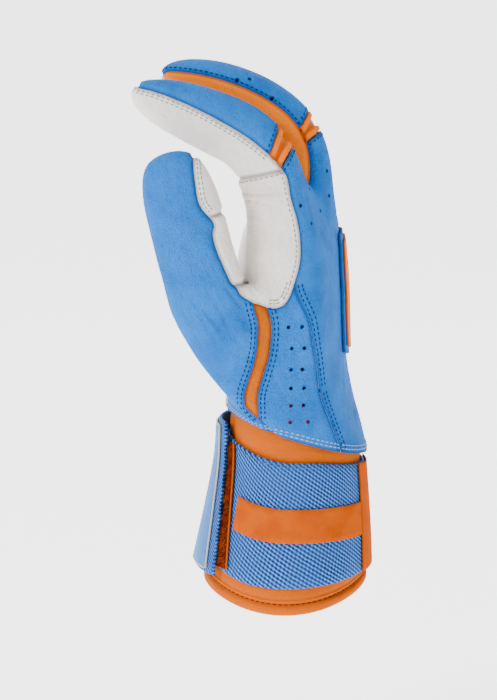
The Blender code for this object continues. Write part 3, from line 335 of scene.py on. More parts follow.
def web_ring():
    """The points of the hand's top ring and of the webs between the fingers."""
    rings = [finger_ring(finger, FINGER_ROWS[0]) for finger in FINGERS]
    backs, palms, webs = [rings[0][0]], [rings[0][6]], []
    for near, far in zip(rings, rings[1:]):
        backs += [near[1], (near[2] + far[0]) / 2]
        palms += [near[5], (near[4] + far[6]) / 2]
        webs.append((near[3] + far[7]) / 2)
    backs += [rings[-1][1], rings[-1][2]]
    palms += [rings[-1][5], rings[-1][4]]
    return backs, palms, webs, rings[0][7], rings[-1][3]


def wrist_ring():
    """The twenty points of the leather's lower edge, laid out as the hand's rings are."""
    step = math.pi / (COLUMNS + 1)
    angles = [step * (column + 1) for column in range(COLUMNS)]
    backs = [hem_point(-angle, HEM_OUT) for angle in angles]
    palms = [hem_point(angle, HEM_OUT) for angle in angles]
    return backs, palms, hem_point(0, HEM_OUT), hem_point(math.pi, HEM_OUT)


def hand_ring(row, share, top_backs):
    """The points of one ring of the hand. The share is its place between the wrist and the webs."""
    half_width = row.width * HAND_HALF_WIDTH
    step = math.pi / (COLUMNS + 1)
    backs, palms = [], []
    for column in range(COLUMNS):
        round_place = -math.cos(step * (column + 1))
        finger_place = top_backs[column].y / HAND_HALF_WIDTH
        place = blend(round_place, finger_place, share)
        edge_back = row.back_thumb if place < 0 else row.back_little
        edge_palm = row.palm_thumb if place < 0 else row.palm_little
        back = blend(row.back, edge_back, place**2) * HAND_HALF_DEPTH
        palm = blend(row.palm, edge_palm, place**2) * HAND_HALF_DEPTH
        height = row.height * WEB_HEIGHT
        backs.append(Vector((back, place * half_width, height)))
        palms.append(Vector((palm, place * half_width, height)))
    bulge = Vector((0, SIDE_BULGE * half_width, 0))
    near = (backs[0] + palms[0]) / 2 - bulge
    far = (backs[-1] + palms[-1]) / 2 + bulge
    return backs, palms, near, far


print("web heights:", [round(point.z / MM) for point in web_ring()[2]], "mm")

# %% [markdown]
# The cage grows by extrusion: a loop of edges is extruded and its new points are moved to the next ring.
# Every point carries two measures that the seams need later. One says whether it is on the back (+1), at
# the side (0) or on the palm (-1), and the other whether it lies between two fingers. Subdivision carries
# them along. A face's material index says which region it belongs to.

# %% Grow the cage


def loop_edges(bm, loop):
    """The edges of a closed loop of points. An edge that isn't there yet is made."""
    return [bm.edges.get(pair) or bm.edges.new(pair) for pair in zip(loop, loop[1:] + loop[:1])]


def extrude_loop(bm, loop, places, tags):
    """Extrudes a closed loop to new places. Each new face gets the tag of its edge."""
    edges = loop_edges(bm, loop)
    made = bmesh.ops.extrude_edge_only(bm, edges=edges)["geom"]
    fresh = {item for item in made if isinstance(item, bmesh.types.BMVert)}
    following = []
    for vert, place in zip(loop, places):
        new = next(edge.other_vert(vert) for edge in vert.link_edges if edge.other_vert(vert) in fresh)
        new.co = place
        following.append(new)
    for edge, tag in zip(edges, tags):
        for face in edge.link_faces:
            if any(vert in fresh for vert in face.verts):
                face.material_index = tag
    return following


def carry_loop(bm, shapes, tags=None):
    """A closed loop carried through all these rings of places. Returns its rings of points."""
    first = bmesh.ops.create_circle(bm, segments=len(shapes[0]), radius=HAND_HALF_WIDTH)["verts"]
    for vert, place in zip(first, shapes[0]):
        vert.co = place
    rings = [first]
    for places in shapes[1:]:
        rings.append(extrude_loop(bm, rings[-1], places, tags or [0] * len(places)))
    return rings


def close_tip(bm, loop, place, tags):
    """Closes a loop of eight with four faces round one point."""
    end = bm.verts.new(place)
    for (a, b, c), tag in zip(((7, 0, 1), (1, 2, 3), (3, 4, 5), (5, 6, 7)), tags):
        bm.faces.new((loop[a], loop[b], loop[c], end)).material_index = tag
    return end


def thumb_base():
    dorsal, across, height = THUMB_BASE
    return Vector((dorsal * HAND_HALF_DEPTH, across * HAND_HALF_WIDTH, height * WEB_HEIGHT))


def add_thumb(bm, rings, dorsal):
    """Grows the thumb from the four faces at the thumb side of the palm."""
    low, middle, high = rings[1], rings[2], rings[3]
    near = len(low) - 1
    first, second = near - 1, near - 2
    loop = [high[first], high[near], middle[near], low[near]]
    loop += [low[first], low[second], middle[second], high[second]]
    bmesh.ops.delete(bm, geom=[middle[first]], context="VERTS")
    base = thumb_base()
    for row in THUMB_ROWS:
        tilt = math.radians(row.tilt)
        centre = base + Vector((row.dorsal, row.across, row.up)) * THUMB_LENGTH
        right = Vector((math.cos(tilt), 0, math.sin(tilt))) * THUMB_WIDTH / 2 * row.width * CAGE_SWELL
        near_side = Vector((0, -1, 0)) * THUMB_DEPTH / 2 * row.depth * CAGE_SWELL
        places = []
        for aside, close in ((1, 0), (1, 1), (0, 1), (-1, 1), (-1, 0), (-1, -1), (0, -1), (1, -1)):
            size = CORNER if aside and close else 1.0
            places.append(centre + (right * aside + near_side * close) * size)
        loop = extrude_loop(bm, loop, places, [THUMB] * len(loop))
        for vert in loop:
            vert[dorsal] = 0.0
    end = Vector((THUMB_END[0], THUMB_END[2], THUMB_END[1]))
    close_tip(bm, loop, base + end * THUMB_LENGTH, [THUMB] * 4)


def add_finger(bm, number, loop, dorsal, web):
    """Extrudes one finger from its base loop to its tip."""
    finger = FINGERS[number]
    tags = [tag + number for tag in (FINGER_BACK, FINGER_FAR, FINGER_PALM, FINGER_NEAR) for _ in range(2)]
    for row in FINGER_ROWS[1:]:
        loop = extrude_loop(bm, loop, finger_ring(finger, row), tags)
        for vert, value in zip(loop, (1, 1, 1, 0, -1, -1, -1, 0)):
            vert[dorsal] = value
            vert[web] = 0.0
        loop[3][web] = 1.0 if number < len(FINGERS) - 1 else 0.0
        loop[7][web] = 1.0 if number > 0 else 0.0
    tip_tags = [FINGER_BACK + number, FINGER_BACK + number, FINGER_PALM + number, FINGER_PALM + number]
    close_tip(bm, loop, finger_middle(finger, *FINGER_END), tip_tags)[dorsal] = 0.0


def hand_cage():
    """The control mesh of the whole hand, open at the wrist."""
    bm = bmesh.new()
    dorsal = bm.verts.layers.float.new("dorsal")
    web = bm.verts.layers.float.new("web")
    top_backs, top_palms, webs, top_near, top_far = web_ring()
    shapes = [wrist_ring()]
    for number, row in enumerate(HAND_RINGS):
        shapes.append(hand_ring(row, (number + 1) / (len(HAND_RINGS) + 1), top_backs))
    shapes.append((top_backs, top_palms, top_near, top_far))
    loops = [backs + [far] + palms[::-1] + [near] for backs, palms, near, far in shapes]
    tags = [BACK] * (COLUMNS - 1) + [LITTLE_SIDE] * 2 + [PALM] * (COLUMNS - 1) + [THUMB_SIDE] * 2
    rings = carry_loop(bm, loops, tags)
    for ring in rings:
        for vert, value in zip(ring, [1.0] * COLUMNS + [0.0] + [-1.0] * COLUMNS + [0.0]):
            vert[dorsal] = value
    add_thumb(bm, rings, dorsal)
    top = rings[-1]
    backs, far, palms, near = top[:COLUMNS], top[COLUMNS], top[COLUMNS + 1 : -1][::-1], top[-1]
    middles = [near] + [bm.verts.new(place) for place in webs] + [far]
    for vert in middles[1:-1]:
        vert[web] = 1.0
    for column in range(2, COLUMNS - 1, 2):
        backs[column][web] = BACK_WEB
        palms[column][web] = PALM_WEB
    for number in range(len(FINGERS)):
        a = 2 * number
        loop = [backs[a], backs[a + 1], backs[a + 2], middles[number + 1]]
        loop += [palms[a + 2], palms[a + 1], palms[a], middles[number]]
        add_finger(bm, number, loop, dorsal, web)
    bmesh.ops.recalc_face_normals(bm, faces=bm.faces)
    return bm


def smooth_skin(level):
    """The cage subdivided, with its tags and its measures carried along."""
    obj = object_of("cage", hand_cage())
    cage = obj.data
    modifier = obj.modifiers.new("subdivide", "SUBSURF")
    modifier.levels = level
    modifier.render_levels = level
    graph = bpy.context.evaluated_depsgraph_get()
    finished = bpy.data.meshes.new_from_object(obj.evaluated_get(graph))
    bpy.data.objects.remove(obj, do_unlink=True)
    bm = bmesh.new()
    bm.from_mesh(finished)
    bpy.data.meshes.remove(finished)
    bpy.data.meshes.remove(cage)
    return bm


skin = smooth_skin(SKIN_LEVEL)
print("the skin has", len(skin.faces), "faces")

# %% [markdown]
# Seams come next. A seam is drawn as a smooth curve on the picture plane of the glove's thumb side, as
# shares of the hand's height and depth, and becomes a measure: a number that is zero along the seam and
# changes sign across it. A paper pattern could be drawn and sewn instead, but then the sewn form would
# have to be found, and here the form is known.

# %% Seams as measures
Seam = namedtuple("Seam", "height dorsal")
WING_EDGE = (
    Seam(0.744, -0.045),
    Seam(0.768, 0.060),
    Seam(0.803, 0.140),
    Seam(0.838, 0.214),
    Seam(0.880, 0.227),
    Seam(0.936, 0.180),
)
WING_FOOT = (
    Seam(0.799, -0.88),
    Seam(0.774, -0.81),
    Seam(0.751, -0.53),
    Seam(0.741, -0.29),
    Seam(0.739, -0.155),
    Seam(0.746, -0.045),
)
BACK_SEAM = (
    Seam(0.390, 0.96),
    Seam(0.416, 0.873),
    Seam(0.466, 0.745),
    Seam(0.527, 0.586),
    Seam(0.590, 0.530),
    Seam(0.653, 0.445),
    Seam(0.703, 0.390),
    Seam(0.745, 0.250),
    Seam(0.783, 0.127),
)
GUSSET_EDGE = (
    Seam(0.440, -0.49),
    Seam(0.470, -0.49),
    Seam(0.524, -0.51),
    Seam(0.567, -0.43),
    Seam(0.619, -0.31),
    Seam(0.673, -0.27),
    Seam(0.706, -0.27),
    Seam(0.746, -0.36),
)
GUSSET_WIDTH = 0.005
ThumbSeam = namedtuple("ThumbSeam", "up aside")
THUMB_SEAM = (
    ThumbSeam(0.300, 0.400),
    ThumbSeam(0.420, 0.350),
    ThumbSeam(0.520, 0.310),
    ThumbSeam(0.580, 0.320),
    ThumbSeam(0.620, 0.385),
    ThumbSeam(0.665, 0.300),
    ThumbSeam(0.715, 0.235),
    ThumbSeam(0.800, 0.260),
    ThumbSeam(0.890, 0.300),
    ThumbSeam(0.960, 0.340),
)
THUMB_NOTCH = 0.622
BALL_SEAM_LOW = (0.44, -0.10)
BALL_SEAM_HIGH = (0.80, -0.60)
WING_LIMIT = -0.68
INSERT_LOW = (0.53, -0.05)
INSERT_HIGH = (0.28, 0.16)
FOLD_POINT = (-0.28, -0.50)
FOLD_ANGLE = 13
RIB_WIDTH = 0.0022


def seam_points(rows):
    return [Vector((row.dorsal * HAND_HALF_DEPTH, row.height * WEB_HEIGHT)) for row in rows]


def wing_edge():
    """The pale wing's edge and the index finger's side seam: one curve, as places at heights."""
    index = FINGERS[0]
    points = seam_points(WING_EDGE)
    for row in FINGER_ROWS:
        middle, back, half_depth, _ = finger_frame(index, row)
        place = middle + back * half_depth * row.seam
        points.append(Vector((place.x, place.z)))
    return across_at(points)


def wing_measure():
    """Above zero on the pale wing, which lies left of its edge and above its foot."""
    edge, foot = wing_edge(), across_at([point.yx for point in seam_points(WING_FOOT)])
    return lambda place: min(edge(place.z) - place.x, place.z - foot(place.x))


def seam_measure(rows, shift=0.0):
    line = across_at(seam_points(rows))
    return lambda place: place.x - line(place.z) - shift


def thumb_place(up, aside):
    """The depth and the height of a point beside the thumb's middle line."""
    ups = [0.0] + [row.up for row in THUMB_ROWS] + [THUMB_END[1]]
    dorsals = [0.0] + [row.dorsal for row in THUMB_ROWS] + [THUMB_END[0]]
    base = thumb_base()
    middle = base.x + float(np.interp(up, ups, dorsals)) * THUMB_LENGTH
    return Vector((middle + aside * THUMB_WIDTH, base.z + up * THUMB_LENGTH))


def thumb_measure():
    """Above zero on the thumb's pale strip."""
    line = across_at([thumb_place(row.up, row.aside) for row in THUMB_SEAM])
    return lambda place: place.x - line(place.z)


def notch_measure():
    height = thumb_base().z + THUMB_NOTCH * THUMB_LENGTH
    slope = math.tan(math.radians(THUMB_ROWS[2].tilt))
    middle = thumb_place(THUMB_NOTCH, 0).x
    return lambda place: place.z - height - (place.x - middle) * slope


def ball_measure():
    """Above zero on the palm, below zero on the ball of the thumb."""
    heights = [BALL_SEAM_LOW[0] * WEB_HEIGHT, BALL_SEAM_HIGH[0] * WEB_HEIGHT]
    places = [BALL_SEAM_LOW[1] * HAND_HALF_WIDTH, BALL_SEAM_HIGH[1] * HAND_HALF_WIDTH]
    return lambda place: place.y - float(np.interp(place.z, heights, places))


def finger_line(finger, point, angle):
    """The signed distance from a line across the knuckle, above zero towards the fingertip."""
    knuckle = next(row for row in FINGER_ROWS if row.name == "knuckle")
    middle = finger_frame(finger, knuckle)[0]
    size = FINGER_DEPTH * finger.girth
    start = middle + Vector((point[0] * size, 0, point[1] * size))
    turn = math.radians(angle)
    out = Vector((-math.sin(turn), 0, math.cos(turn)))
    return lambda place: (place - start).dot(out)


WING = wing_measure()
INDEX_EDGE = wing_edge()
BACK_LINE = seam_measure(BACK_SEAM)
GUSSET_RIGHT = seam_measure(GUSSET_EDGE)
GUSSET_LEFT = seam_measure(GUSSET_EDGE, -GUSSET_WIDTH)
THUMB_LINE = thumb_measure()
NOTCH = notch_measure()
BALL = ball_measure()
WING_END = WING_LIMIT * HAND_HALF_WIDTH
CROTCH = WING_FOOT[0].height * WEB_HEIGHT
LOW_LINES = [finger_line(f, INSERT_LOW, f.low_angle) for f in FINGERS]
HIGH_LINES = [finger_line(f, INSERT_HIGH, f.high_angle) for f in FINGERS]
FOLD_LINES = [finger_line(f, FOLD_POINT, FOLD_ANGLE) for f in FINGERS]
print("crotch of the thumb at", round(CROTCH / MM), "mm")

# %% [markdown]
# To cut leather along a seam, each edge of the mesh that crosses the line gets a new point where the
# measure is zero, and each face is split between its two new points. bisect_plane makes such a cut along a
# plane only, and seams are curved, so the cut is made with edge_split and face_split.

# %% Cut the skin along its seams
SNAP = 0.0001
WEB_SNAP = 0.02
WEB_SHARE = 0.45
THUMB_FOOT_TURN = 0.2
DORSAL = skin.verts.layers.float["dorsal"]
WEB = skin.verts.layers.float["web"]


def cut_along(faces, measure, snap=SNAP):
    """Splits these faces along the line where the measure is zero."""
    verts = {vert for face in faces for vert in face.verts}
    values = {vert: measure(vert.co) for vert in verts}
    low, high = set(), set()
    for vert, value in values.items():
        (low if value < 0 else high).add(vert)
    crossing = [face for face in faces if low & set(face.verts) and high & set(face.verts)]
    on_line = {vert for vert, value in values.items() if abs(value) < snap}
    for edge in {edge for face in crossing for edge in face.edges}:
        a, b = edge.verts
        if a in on_line or b in on_line or values[a] * values[b] > 0:
            continue
        _, vert = bmesh.utils.edge_split(edge, a, values[a] / (values[a] - values[b]))
        on_line.add(vert)
    for face in crossing:
        corners = list(face.verts)
        crossed = [number for number, vert in enumerate(corners) if vert in on_line]
        if len(crossed) == 2 and crossed[1] - crossed[0] not in (1, len(corners) - 1):
            bmesh.utils.face_split(face, corners[crossed[0]], corners[crossed[1]])


def mean(face, layer):
    return sum(vert[layer] for vert in face.verts) / len(face.verts)


def faces_where(test):
    return [face for face in skin.faces if test(face, face.calc_center_median())]


def is_dorsal(face, place):
    """Whether this face of a finger belongs to its back."""
    kind = face.material_index // 10 * 10
    if face.material_index in (FINGER_BACK, FINGER_PALM, FINGER_NEAR):
        return place.x > INDEX_EDGE(place.z)
    if kind in (FINGER_BACK, FINGER_PALM):
        return kind == FINGER_BACK
    return mean(face, DORSAL) > 0


def is_thumb_foot(face, place):
    """Whether this face is on the near side of the thumb's root, below the crotch."""
    return face.material_index == THUMB and place.z < CROTCH and face.normal.y < THUMB_FOOT_TURN


def is_thumb_tube(face, place):
    return face.material_index == THUMB and not is_thumb_foot(face, place)


def cut_hand():
    def beside_wing(face, place):
        near = face.material_index in (BACK, PALM, THUMB_SIDE) and place.y < WING_END / 2
        return near or face.material_index in (FINGER_BACK, FINGER_PALM, FINGER_NEAR)

    def below_wing(face, place):
        side = face.material_index in (BACK, THUMB_SIDE) and place.y < 0 and WING(place) < 0
        return side or is_thumb_foot(face, place)

    def on_palm(face, place):
        low = place.z < BALL_SEAM_HIGH[0] * WEB_HEIGHT
        return low and face.material_index == PALM and place.y < HAND_HALF_WIDTH / 2

    def on_wing_palm(face, place):
        return face.material_index in (PALM, FINGER_PALM) and place.z > CROTCH

    def on_strip(face, place):
        return is_thumb_tube(face, place) and THUMB_LINE(place) > 0

    webbed = [face for face in skin.faces if any(vert[WEB] > 0 for vert in face.verts)]
    share = {vert.co.copy().freeze(): vert[WEB] for face in webbed for vert in face.verts}
    cut_along(webbed, lambda place: share[place.copy().freeze()] - WEB_SHARE, WEB_SNAP)
    cut_along(faces_where(beside_wing), WING)
    for measure in (BACK_LINE, GUSSET_RIGHT, GUSSET_LEFT):
        cut_along(faces_where(below_wing), measure)
    cut_along(faces_where(on_palm), BALL)
    cut_along(faces_where(on_wing_palm), lambda place: place.y - WING_END)
    cut_along(faces_where(is_thumb_foot), lambda place: place.z - CROTCH)
    cut_along(faces_where(is_thumb_tube), THUMB_LINE)
    cut_along(faces_where(on_strip), NOTCH)


def finger_faces(number, dorsal):
    """The faces on the back of one finger or on its palm side, without the strips between the fingers."""
    tags = [tag + number for tag in (FINGER_BACK, FINGER_PALM, FINGER_NEAR, FINGER_FAR)]
    mine = [face for face in skin.faces if face.material_index in tags and mean(face, WEB) < WEB_SHARE]
    return [face for face in mine if is_dorsal(face, face.calc_center_median()) == dorsal]


def cut_finger(number):
    low, high = LOW_LINES[number], HIGH_LINES[number]
    for measure in (low, high, lambda p: low(p) - RIB_WIDTH, lambda p: high(p) + RIB_WIDTH):
        cut_along(finger_faces(number, True), measure)
    cut_along(finger_faces(number, False), FOLD_LINES[number])


skin.normal_update()
cut_hand()
for number in range(len(FINGERS)):
    cut_finger(number)
skin.normal_update()
print("after the cuts the skin has", len(skin.faces), "faces")

# %% [markdown]
# Now every face is told which panel it belongs to. The rules are those of a cutting plan: the thumb's tube
# is blue outside and pale towards the index finger, the finger backs are blue, their palm sides pale. A
# stray patch of a few faces joins the panel that surrounds it. Last, the points of each seam are drawn
# towards their neighbours on it, because a cut through a mesh leaves small steps.

# %% Name the panels
NAMING_ROUNDS = 3
SEAM_ROUNDS = 7


def pale_panel(place):
    above = place.z > CROTCH or place.x > WING_FOOT[0].dorsal * HAND_HALF_DEPTH
    return "web_wing" if place.y < WING_END and above else "palm"


def finger_panel(face, place):
    number = face.material_index % 10
    name = FINGERS[number].name
    if not is_dorsal(face, place):
        return name + "_pad" if FOLD_LINES[number](place) > 0 else pale_panel(place)
    if LOW_LINES[number](place) < 0:
        return "back_panel"
    return name + "_back" if HIGH_LINES[number](place) > 0 else name + "_knuckle_insert"


def side_panel_of(place):
    if WING(place) > 0:
        return pale_panel(place)
    if BACK_LINE(place) > 0:
        return "back_panel"
    if GUSSET_RIGHT(place) > 0:
        return "side_panel"
    return "thumb_gusset" if GUSSET_LEFT(place) > 0 else "thumb_panel"


def panel_of(face):
    tag, place = face.material_index, face.calc_center_median()
    if mean(face, WEB) > WEB_SHARE:
        gaps = [(a.across + b.across) / 2 * HAND_HALF_WIDTH for a, b in zip(FINGERS, FINGERS[1:])]
        number = min(range(len(gaps)), key=lambda n: abs(gaps[n] - place.y))
        return FINGERS[number].name + "_" + FINGERS[number + 1].name + "_fourchette"
    if is_thumb_tube(face, place):
        if THUMB_LINE(place) < 0 or place.z < CROTCH:
            return "thumb_panel"
        return "thumb_strip_upper" if NOTCH(place) > 0 else "thumb_strip_lower"
    if tag >= FINGER_BACK:
        return finger_panel(face, place)
    if tag == LITTLE_SIDE:
        return "back_panel" if mean(face, DORSAL) > 0 else "palm"
    if tag == BACK and place.y > WING_END / 2:
        return "back_panel"
    if tag == PALM:
        return "thumb_panel" if BALL(place) < 0 and WING(place) < 0 else pale_panel(place)
    return side_panel_of(place)


def islands_of(names):
    """Groups of faces that share edges and a name."""
    left, islands = set(names), []
    while left:
        start = left.pop()
        island, queue = [start], [start]
        while queue:
            for edge in queue.pop().edges:
                for other in edge.link_faces:
                    if other in left and names[other] == names[start]:
                        left.remove(other)
                        island.append(other)
                        queue.append(other)
        islands.append(island)
    return islands


def name_panels():
    names = {face: panel_of(face) for face in skin.faces}
    for _ in range(NAMING_ROUNDS):
        islands = sorted(islands_of(names), key=len, reverse=True)
        kept = set()
        for island in islands:
            name = names[island[0]]
            if name not in kept:
                kept.add(name)
                continue
            inside = set(island)
            around = {}
            for edge in {edge for face in island for edge in face.edges}:
                for other in edge.link_faces:
                    if other not in inside:
                        around[names[other]] = around.get(names[other], 0) + edge.calc_length()
            taker = max(around, key=around.get)
            for face in island:
                names[face] = taker
    return names


def smooth_seams(rounds):
    """Draws each point of a seam towards its two neighbours on it, and lets the skin beside it follow."""
    beside = {}
    for edge in skin.edges:
        if len({PANEL_NAMES[face] for face in edge.link_faces}) == 2:
            for vert in edge.verts:
                beside.setdefault(vert, []).append(edge.other_vert(vert))
    inner = {vert: others for vert, others in beside.items() if len(others) == 2}
    near = dict.fromkeys(edge.other_vert(vert) for vert in beside for edge in vert.link_edges)
    near = [vert for vert in near if vert not in beside and not vert.is_boundary]
    for _ in range(rounds):
        moved = {vert: (vert.co * 2 + others[0].co + others[1].co) / 4 for vert, others in inner.items()}
        for vert, place in moved.items():
            vert.co = place
        bmesh.ops.smooth_vert(
            skin, verts=near, factor=0.5, use_axis_x=True, use_axis_y=True, use_axis_z=True
        )
    skin.normal_update()


PANEL_NAMES = name_panels()
smooth_seams(SEAM_ROUNDS)
PANELS = {}
for face, name in PANEL_NAMES.items():
    PANELS.setdefault(name, []).append(face)
print({name: len(faces) for name, faces in sorted(PANELS.items())})

# %% [markdown]
# Materials. Soft glove leather has a fine net of grain and slow changes of tone, and its seams lie in
# shade, which is painted into the colour as a darker line. All of that is drawn with nodes. The tone and the
# grain read the place on the object, and the painted seam shade reads a measure that each panel carries:
# its distance to the nearest edge.

# %% Helpers for finishes
GLOSS = 0.025
SHEEN = 0.02
SHEEN_ROUGHNESS = 0.5


def new_finish(name, colour, roughness):
    """A material with a Principled shader. Returns it, its tree and its shader."""
    made = bpy.data.materials.new(name)
    made.use_nodes = True
    shader = made.node_tree.nodes["Principled BSDF"]
    shader.inputs["Base Color"].default_value = (*colour, 1)
    shader.inputs["Roughness"].default_value = roughness
    shader.inputs["Specular IOR Level"].default_value = GLOSS
    return made, made.node_tree, shader


def add_node(tree, kind, settings=None, **values):
    made = tree.nodes.new("ShaderNode" + kind)
    for name, value in (settings or {}).items():
        setattr(made, name, value)
    for name, value in values.items():
        made.inputs[name.replace("_", " ")].default_value = value
    return made


def object_place(tree, stretch=(1, 1, 1), turn=(0, 0, 0)):
    """The place on the object, stretched and turned."""
    place = add_node(tree, "TexCoord")
    mapped = add_node(tree, "Mapping", Scale=stretch, Rotation=turn)
    tree.links.new(place.outputs["Object"], mapped.inputs["Vector"])
    return mapped.outputs["Vector"]


def noise_value(tree, vector, size, detail=3.0):
    made = add_node(tree, "TexNoise", Scale=1 / size, Detail=detail)
    tree.links.new(vector, made.inputs["Vector"])
    return made.outputs["Fac"]


def ramp(tree, value, low, high, out_low=0.0, out_high=1.0):
    """The value moved from one range to another, and kept inside it."""
    made = add_node(tree, "MapRange", {"clamp": True, "interpolation_type": "SMOOTHSTEP"})
    for socket, number in zip(made.inputs[1:5], (low, high, out_low, out_high)):
        socket.default_value = number
    tree.links.new(value, made.inputs[0])
    return made.outputs[0]


def calculate(tree, operation, first, second):
    made = add_node(tree, "Math", {"operation": operation})
    for socket, value in zip(made.inputs, (first, second)):
        if isinstance(value, (int, float)):
            socket.default_value = value
        else:
            tree.links.new(value, socket)
    return made.outputs[0]


def mix_colour(tree, share, first, second):
    made = add_node(tree, "Mix", {"data_type": "RGBA"})
    for number, colour in ((6, first), (7, second)):
        if isinstance(colour, tuple):
            made.inputs[number].default_value = (*colour, 1)
        else:
            tree.links.new(colour, made.inputs[number])
    tree.links.new(share, made.inputs[0])
    return made.outputs[2]


def add_bumps(tree, shader, heights):
    """Chains bumps, each a height and its real depth in metres, into the shader's normal."""
    before = None
    for height, depth in heights:
        bump = add_node(tree, "Bump", Strength=1.0, Distance=depth)
        tree.links.new(height, bump.inputs["Height"])
        if before:
            tree.links.new(before, bump.inputs["Normal"])
        before = bump.outputs["Normal"]
    tree.links.new(before, shader.inputs["Normal"])


def add_sheen(shader):
    """The faint light that the fibres of a cloth catch at a grazing angle."""
    shader.inputs["Sheen Weight"].default_value = SHEEN
    shader.inputs["Sheen Roughness"].default_value = SHEEN_ROUGHNESS


def measure_of(tree, name):
    return add_node(tree, "Attribute", {"attribute_name": name}).outputs["Fac"]


print("helpers ready")

# %% [markdown]
# Leather's grain is a net of fine creases between small islands, so the distance to the edge of a Voronoi
# cell gives its height. The place is first shaken with noise, because a plain Voronoi net looks like
# cracked mud. Long soft creases lie over it, stretched along the hand.

# %% Leather
BLUE_LIGHT = (0.008, 0.145, 0.500)
BLUE_DARK = (0.005, 0.112, 0.405)
# This colour and the pale seam colour below are painted shade for the seams' grooves.
BLUE_SEAM_SHADE = (0.004, 0.040, 0.180)
PALE_LIGHT = (0.830, 0.775, 0.735)
PALE_DARK = (0.730, 0.670, 0.630)
PALE_SEAM_SHADE = (0.250, 0.215, 0.195)
GRAIN_SIZE = 1.25 * MM
SEAM_SHADE_REACH = 1.6 * MM


# The seam colour is painted shade: the darker colour of a seam's groove, where shade falls.
def leather(name, light, dark, seam, roughness, grain_depth):
    made, tree, shader = new_finish(name, light, roughness)
    place = object_place(tree)
    shake = add_node(tree, "TexNoise", Scale=1 / (2.2 * MM), Detail=2.0)
    tree.links.new(place, shake.inputs["Vector"])
    shaken = add_node(tree, "VectorMath", {"operation": "MULTIPLY_ADD"})
    shaken.inputs[1].default_value = (0.0011, 0.0011, 0.0011)
    tree.links.new(shake.outputs["Color"], shaken.inputs[0])
    tree.links.new(place, shaken.inputs[2])
    net = add_node(tree, "TexVoronoi", {"feature": "DISTANCE_TO_EDGE"}, Scale=1 / GRAIN_SIZE)
    tree.links.new(shaken.outputs[0], net.inputs["Vector"])
    islands = ramp(tree, net.outputs["Distance"], 0.0, 0.16)
    creases = noise_value(tree, object_place(tree, (1.0, 1.0, 0.45), (0, 0.5, 0)), 3.5 * MM, 5.0)
    pores = noise_value(tree, place, 0.35 * MM, 2.0)
    add_bumps(tree, shader, ((creases, 1.4 * MM), (islands, grain_depth), (pores, grain_depth)))
    tone = noise_value(tree, place, 16 * MM, 4.0)
    fine = noise_value(tree, place, 1.4 * MM, 3.0)
    body = mix_colour(tree, ramp(tree, tone, 0.35, 0.65), dark, light)
    body = mix_colour(tree, ramp(tree, fine, 0.42, 0.30, 0.0, 0.35), body, dark)
    # Painted shade: near each panel's edge the colour is drawn towards the seam shade colour.
    near = ramp(tree, measure_of(tree, "edge_distance"), 0.0, SEAM_SHADE_REACH, 0.75, 0.0)
    tree.links.new(mix_colour(tree, near, body, seam), shader.inputs["Base Color"])
    rough = ramp(tree, fine, 0.3, 0.7, roughness - 0.05, roughness + 0.08)
    tree.links.new(rough, shader.inputs["Roughness"])
    return made


BLUE_LEATHER = leather("blue_glove_leather", BLUE_LIGHT, BLUE_DARK, BLUE_SEAM_SHADE, 0.55, 0.17 * MM)
PALE_LEATHER = leather("pale_glove_leather", PALE_LIGHT, PALE_DARK, PALE_SEAM_SHADE, 0.60, 0.13 * MM)
print(BLUE_LEATHER.name, PALE_LEATHER.name)

# %% [markdown]
# A cut edge shows the leather's paler, less dyed core as a thin line. It is a finish of its own, because
# the rim of a panel's wall can be given another material than its faces.

# %% Cut edges and threads
BLUE_CORE = (0.26, 0.38, 0.55)
PALE_CORE = (0.42, 0.40, 0.38)


def core_finish(name, colour):
    made, tree, shader = new_finish(name, colour, 0.85)
    fibres = noise_value(tree, object_place(tree), 0.3 * MM, 3.0)
    darker = tuple(part * 0.7 for part in colour)
    tree.links.new(mix_colour(tree, fibres, darker, colour), shader.inputs["Base Color"])
    add_bumps(tree, shader, ((fibres, 0.06 * MM),))
    return made


def thread_finish(name, colour):
    """Twisted sewing thread: fine slanting plies."""
    made, tree, shader = new_finish(name, colour, 0.5)
    plies = add_node(tree, "TexWave", {"wave_type": "BANDS", "bands_direction": "DIAGONAL"}, Scale=1500.0)
    tree.links.new(object_place(tree), plies.inputs["Vector"])
    darker = tuple(part * 0.55 for part in colour)
    tree.links.new(mix_colour(tree, plies.outputs["Fac"], darker, colour), shader.inputs["Base Color"])
    add_bumps(tree, shader, ((plies.outputs["Fac"], 0.05 * MM),))
    return made


BLUE_CUT = core_finish("blue_leather_core", BLUE_CORE)
PALE_CUT = core_finish("pale_leather_core", PALE_CORE)
NAVY_THREAD = thread_finish("navy_thread", (0.006, 0.014, 0.075))
PALE_THREAD = thread_finish("pale_thread", (0.40, 0.46, 0.58))
GREY_THREAD = thread_finish("grey_thread", (0.25, 0.24, 0.235))
print("threads ready")

# %% [markdown]
# The strips between the fingers and beside the thumb are a stretch knit, and the knuckle inserts a softer,
# smoother sheet. The knit's ribs are waves along the piece, with the loops as finer waves across them. The
# strip beside the thumb is the same knit, dimmed as a whole as painted shade. All three get painted shade
# at their seams, and the inserts also get it in the hollows beside their ribs.

# %% Orange knit and flex sheet
ORANGE_LIGHT = (0.800, 0.190, 0.003)
ORANGE_DARK = (0.640, 0.125, 0.001)
# Painted shade for the hollows beside the ribs of a knuckle insert.
ORANGE_HOLLOW_SHADE = (0.52, 0.085, 0.001)
# Painted shade for the seams' grooves.
ORANGE_SEAM_SHADE = (0.22, 0.028, 0.0005)
KNIT_RIB = 0.9 * MM
# Painted shade: the thumb's gusset is the fourchettes' knit, dimmed to this share of its colour.
GUSSET_SHADE_SCALE = 0.52


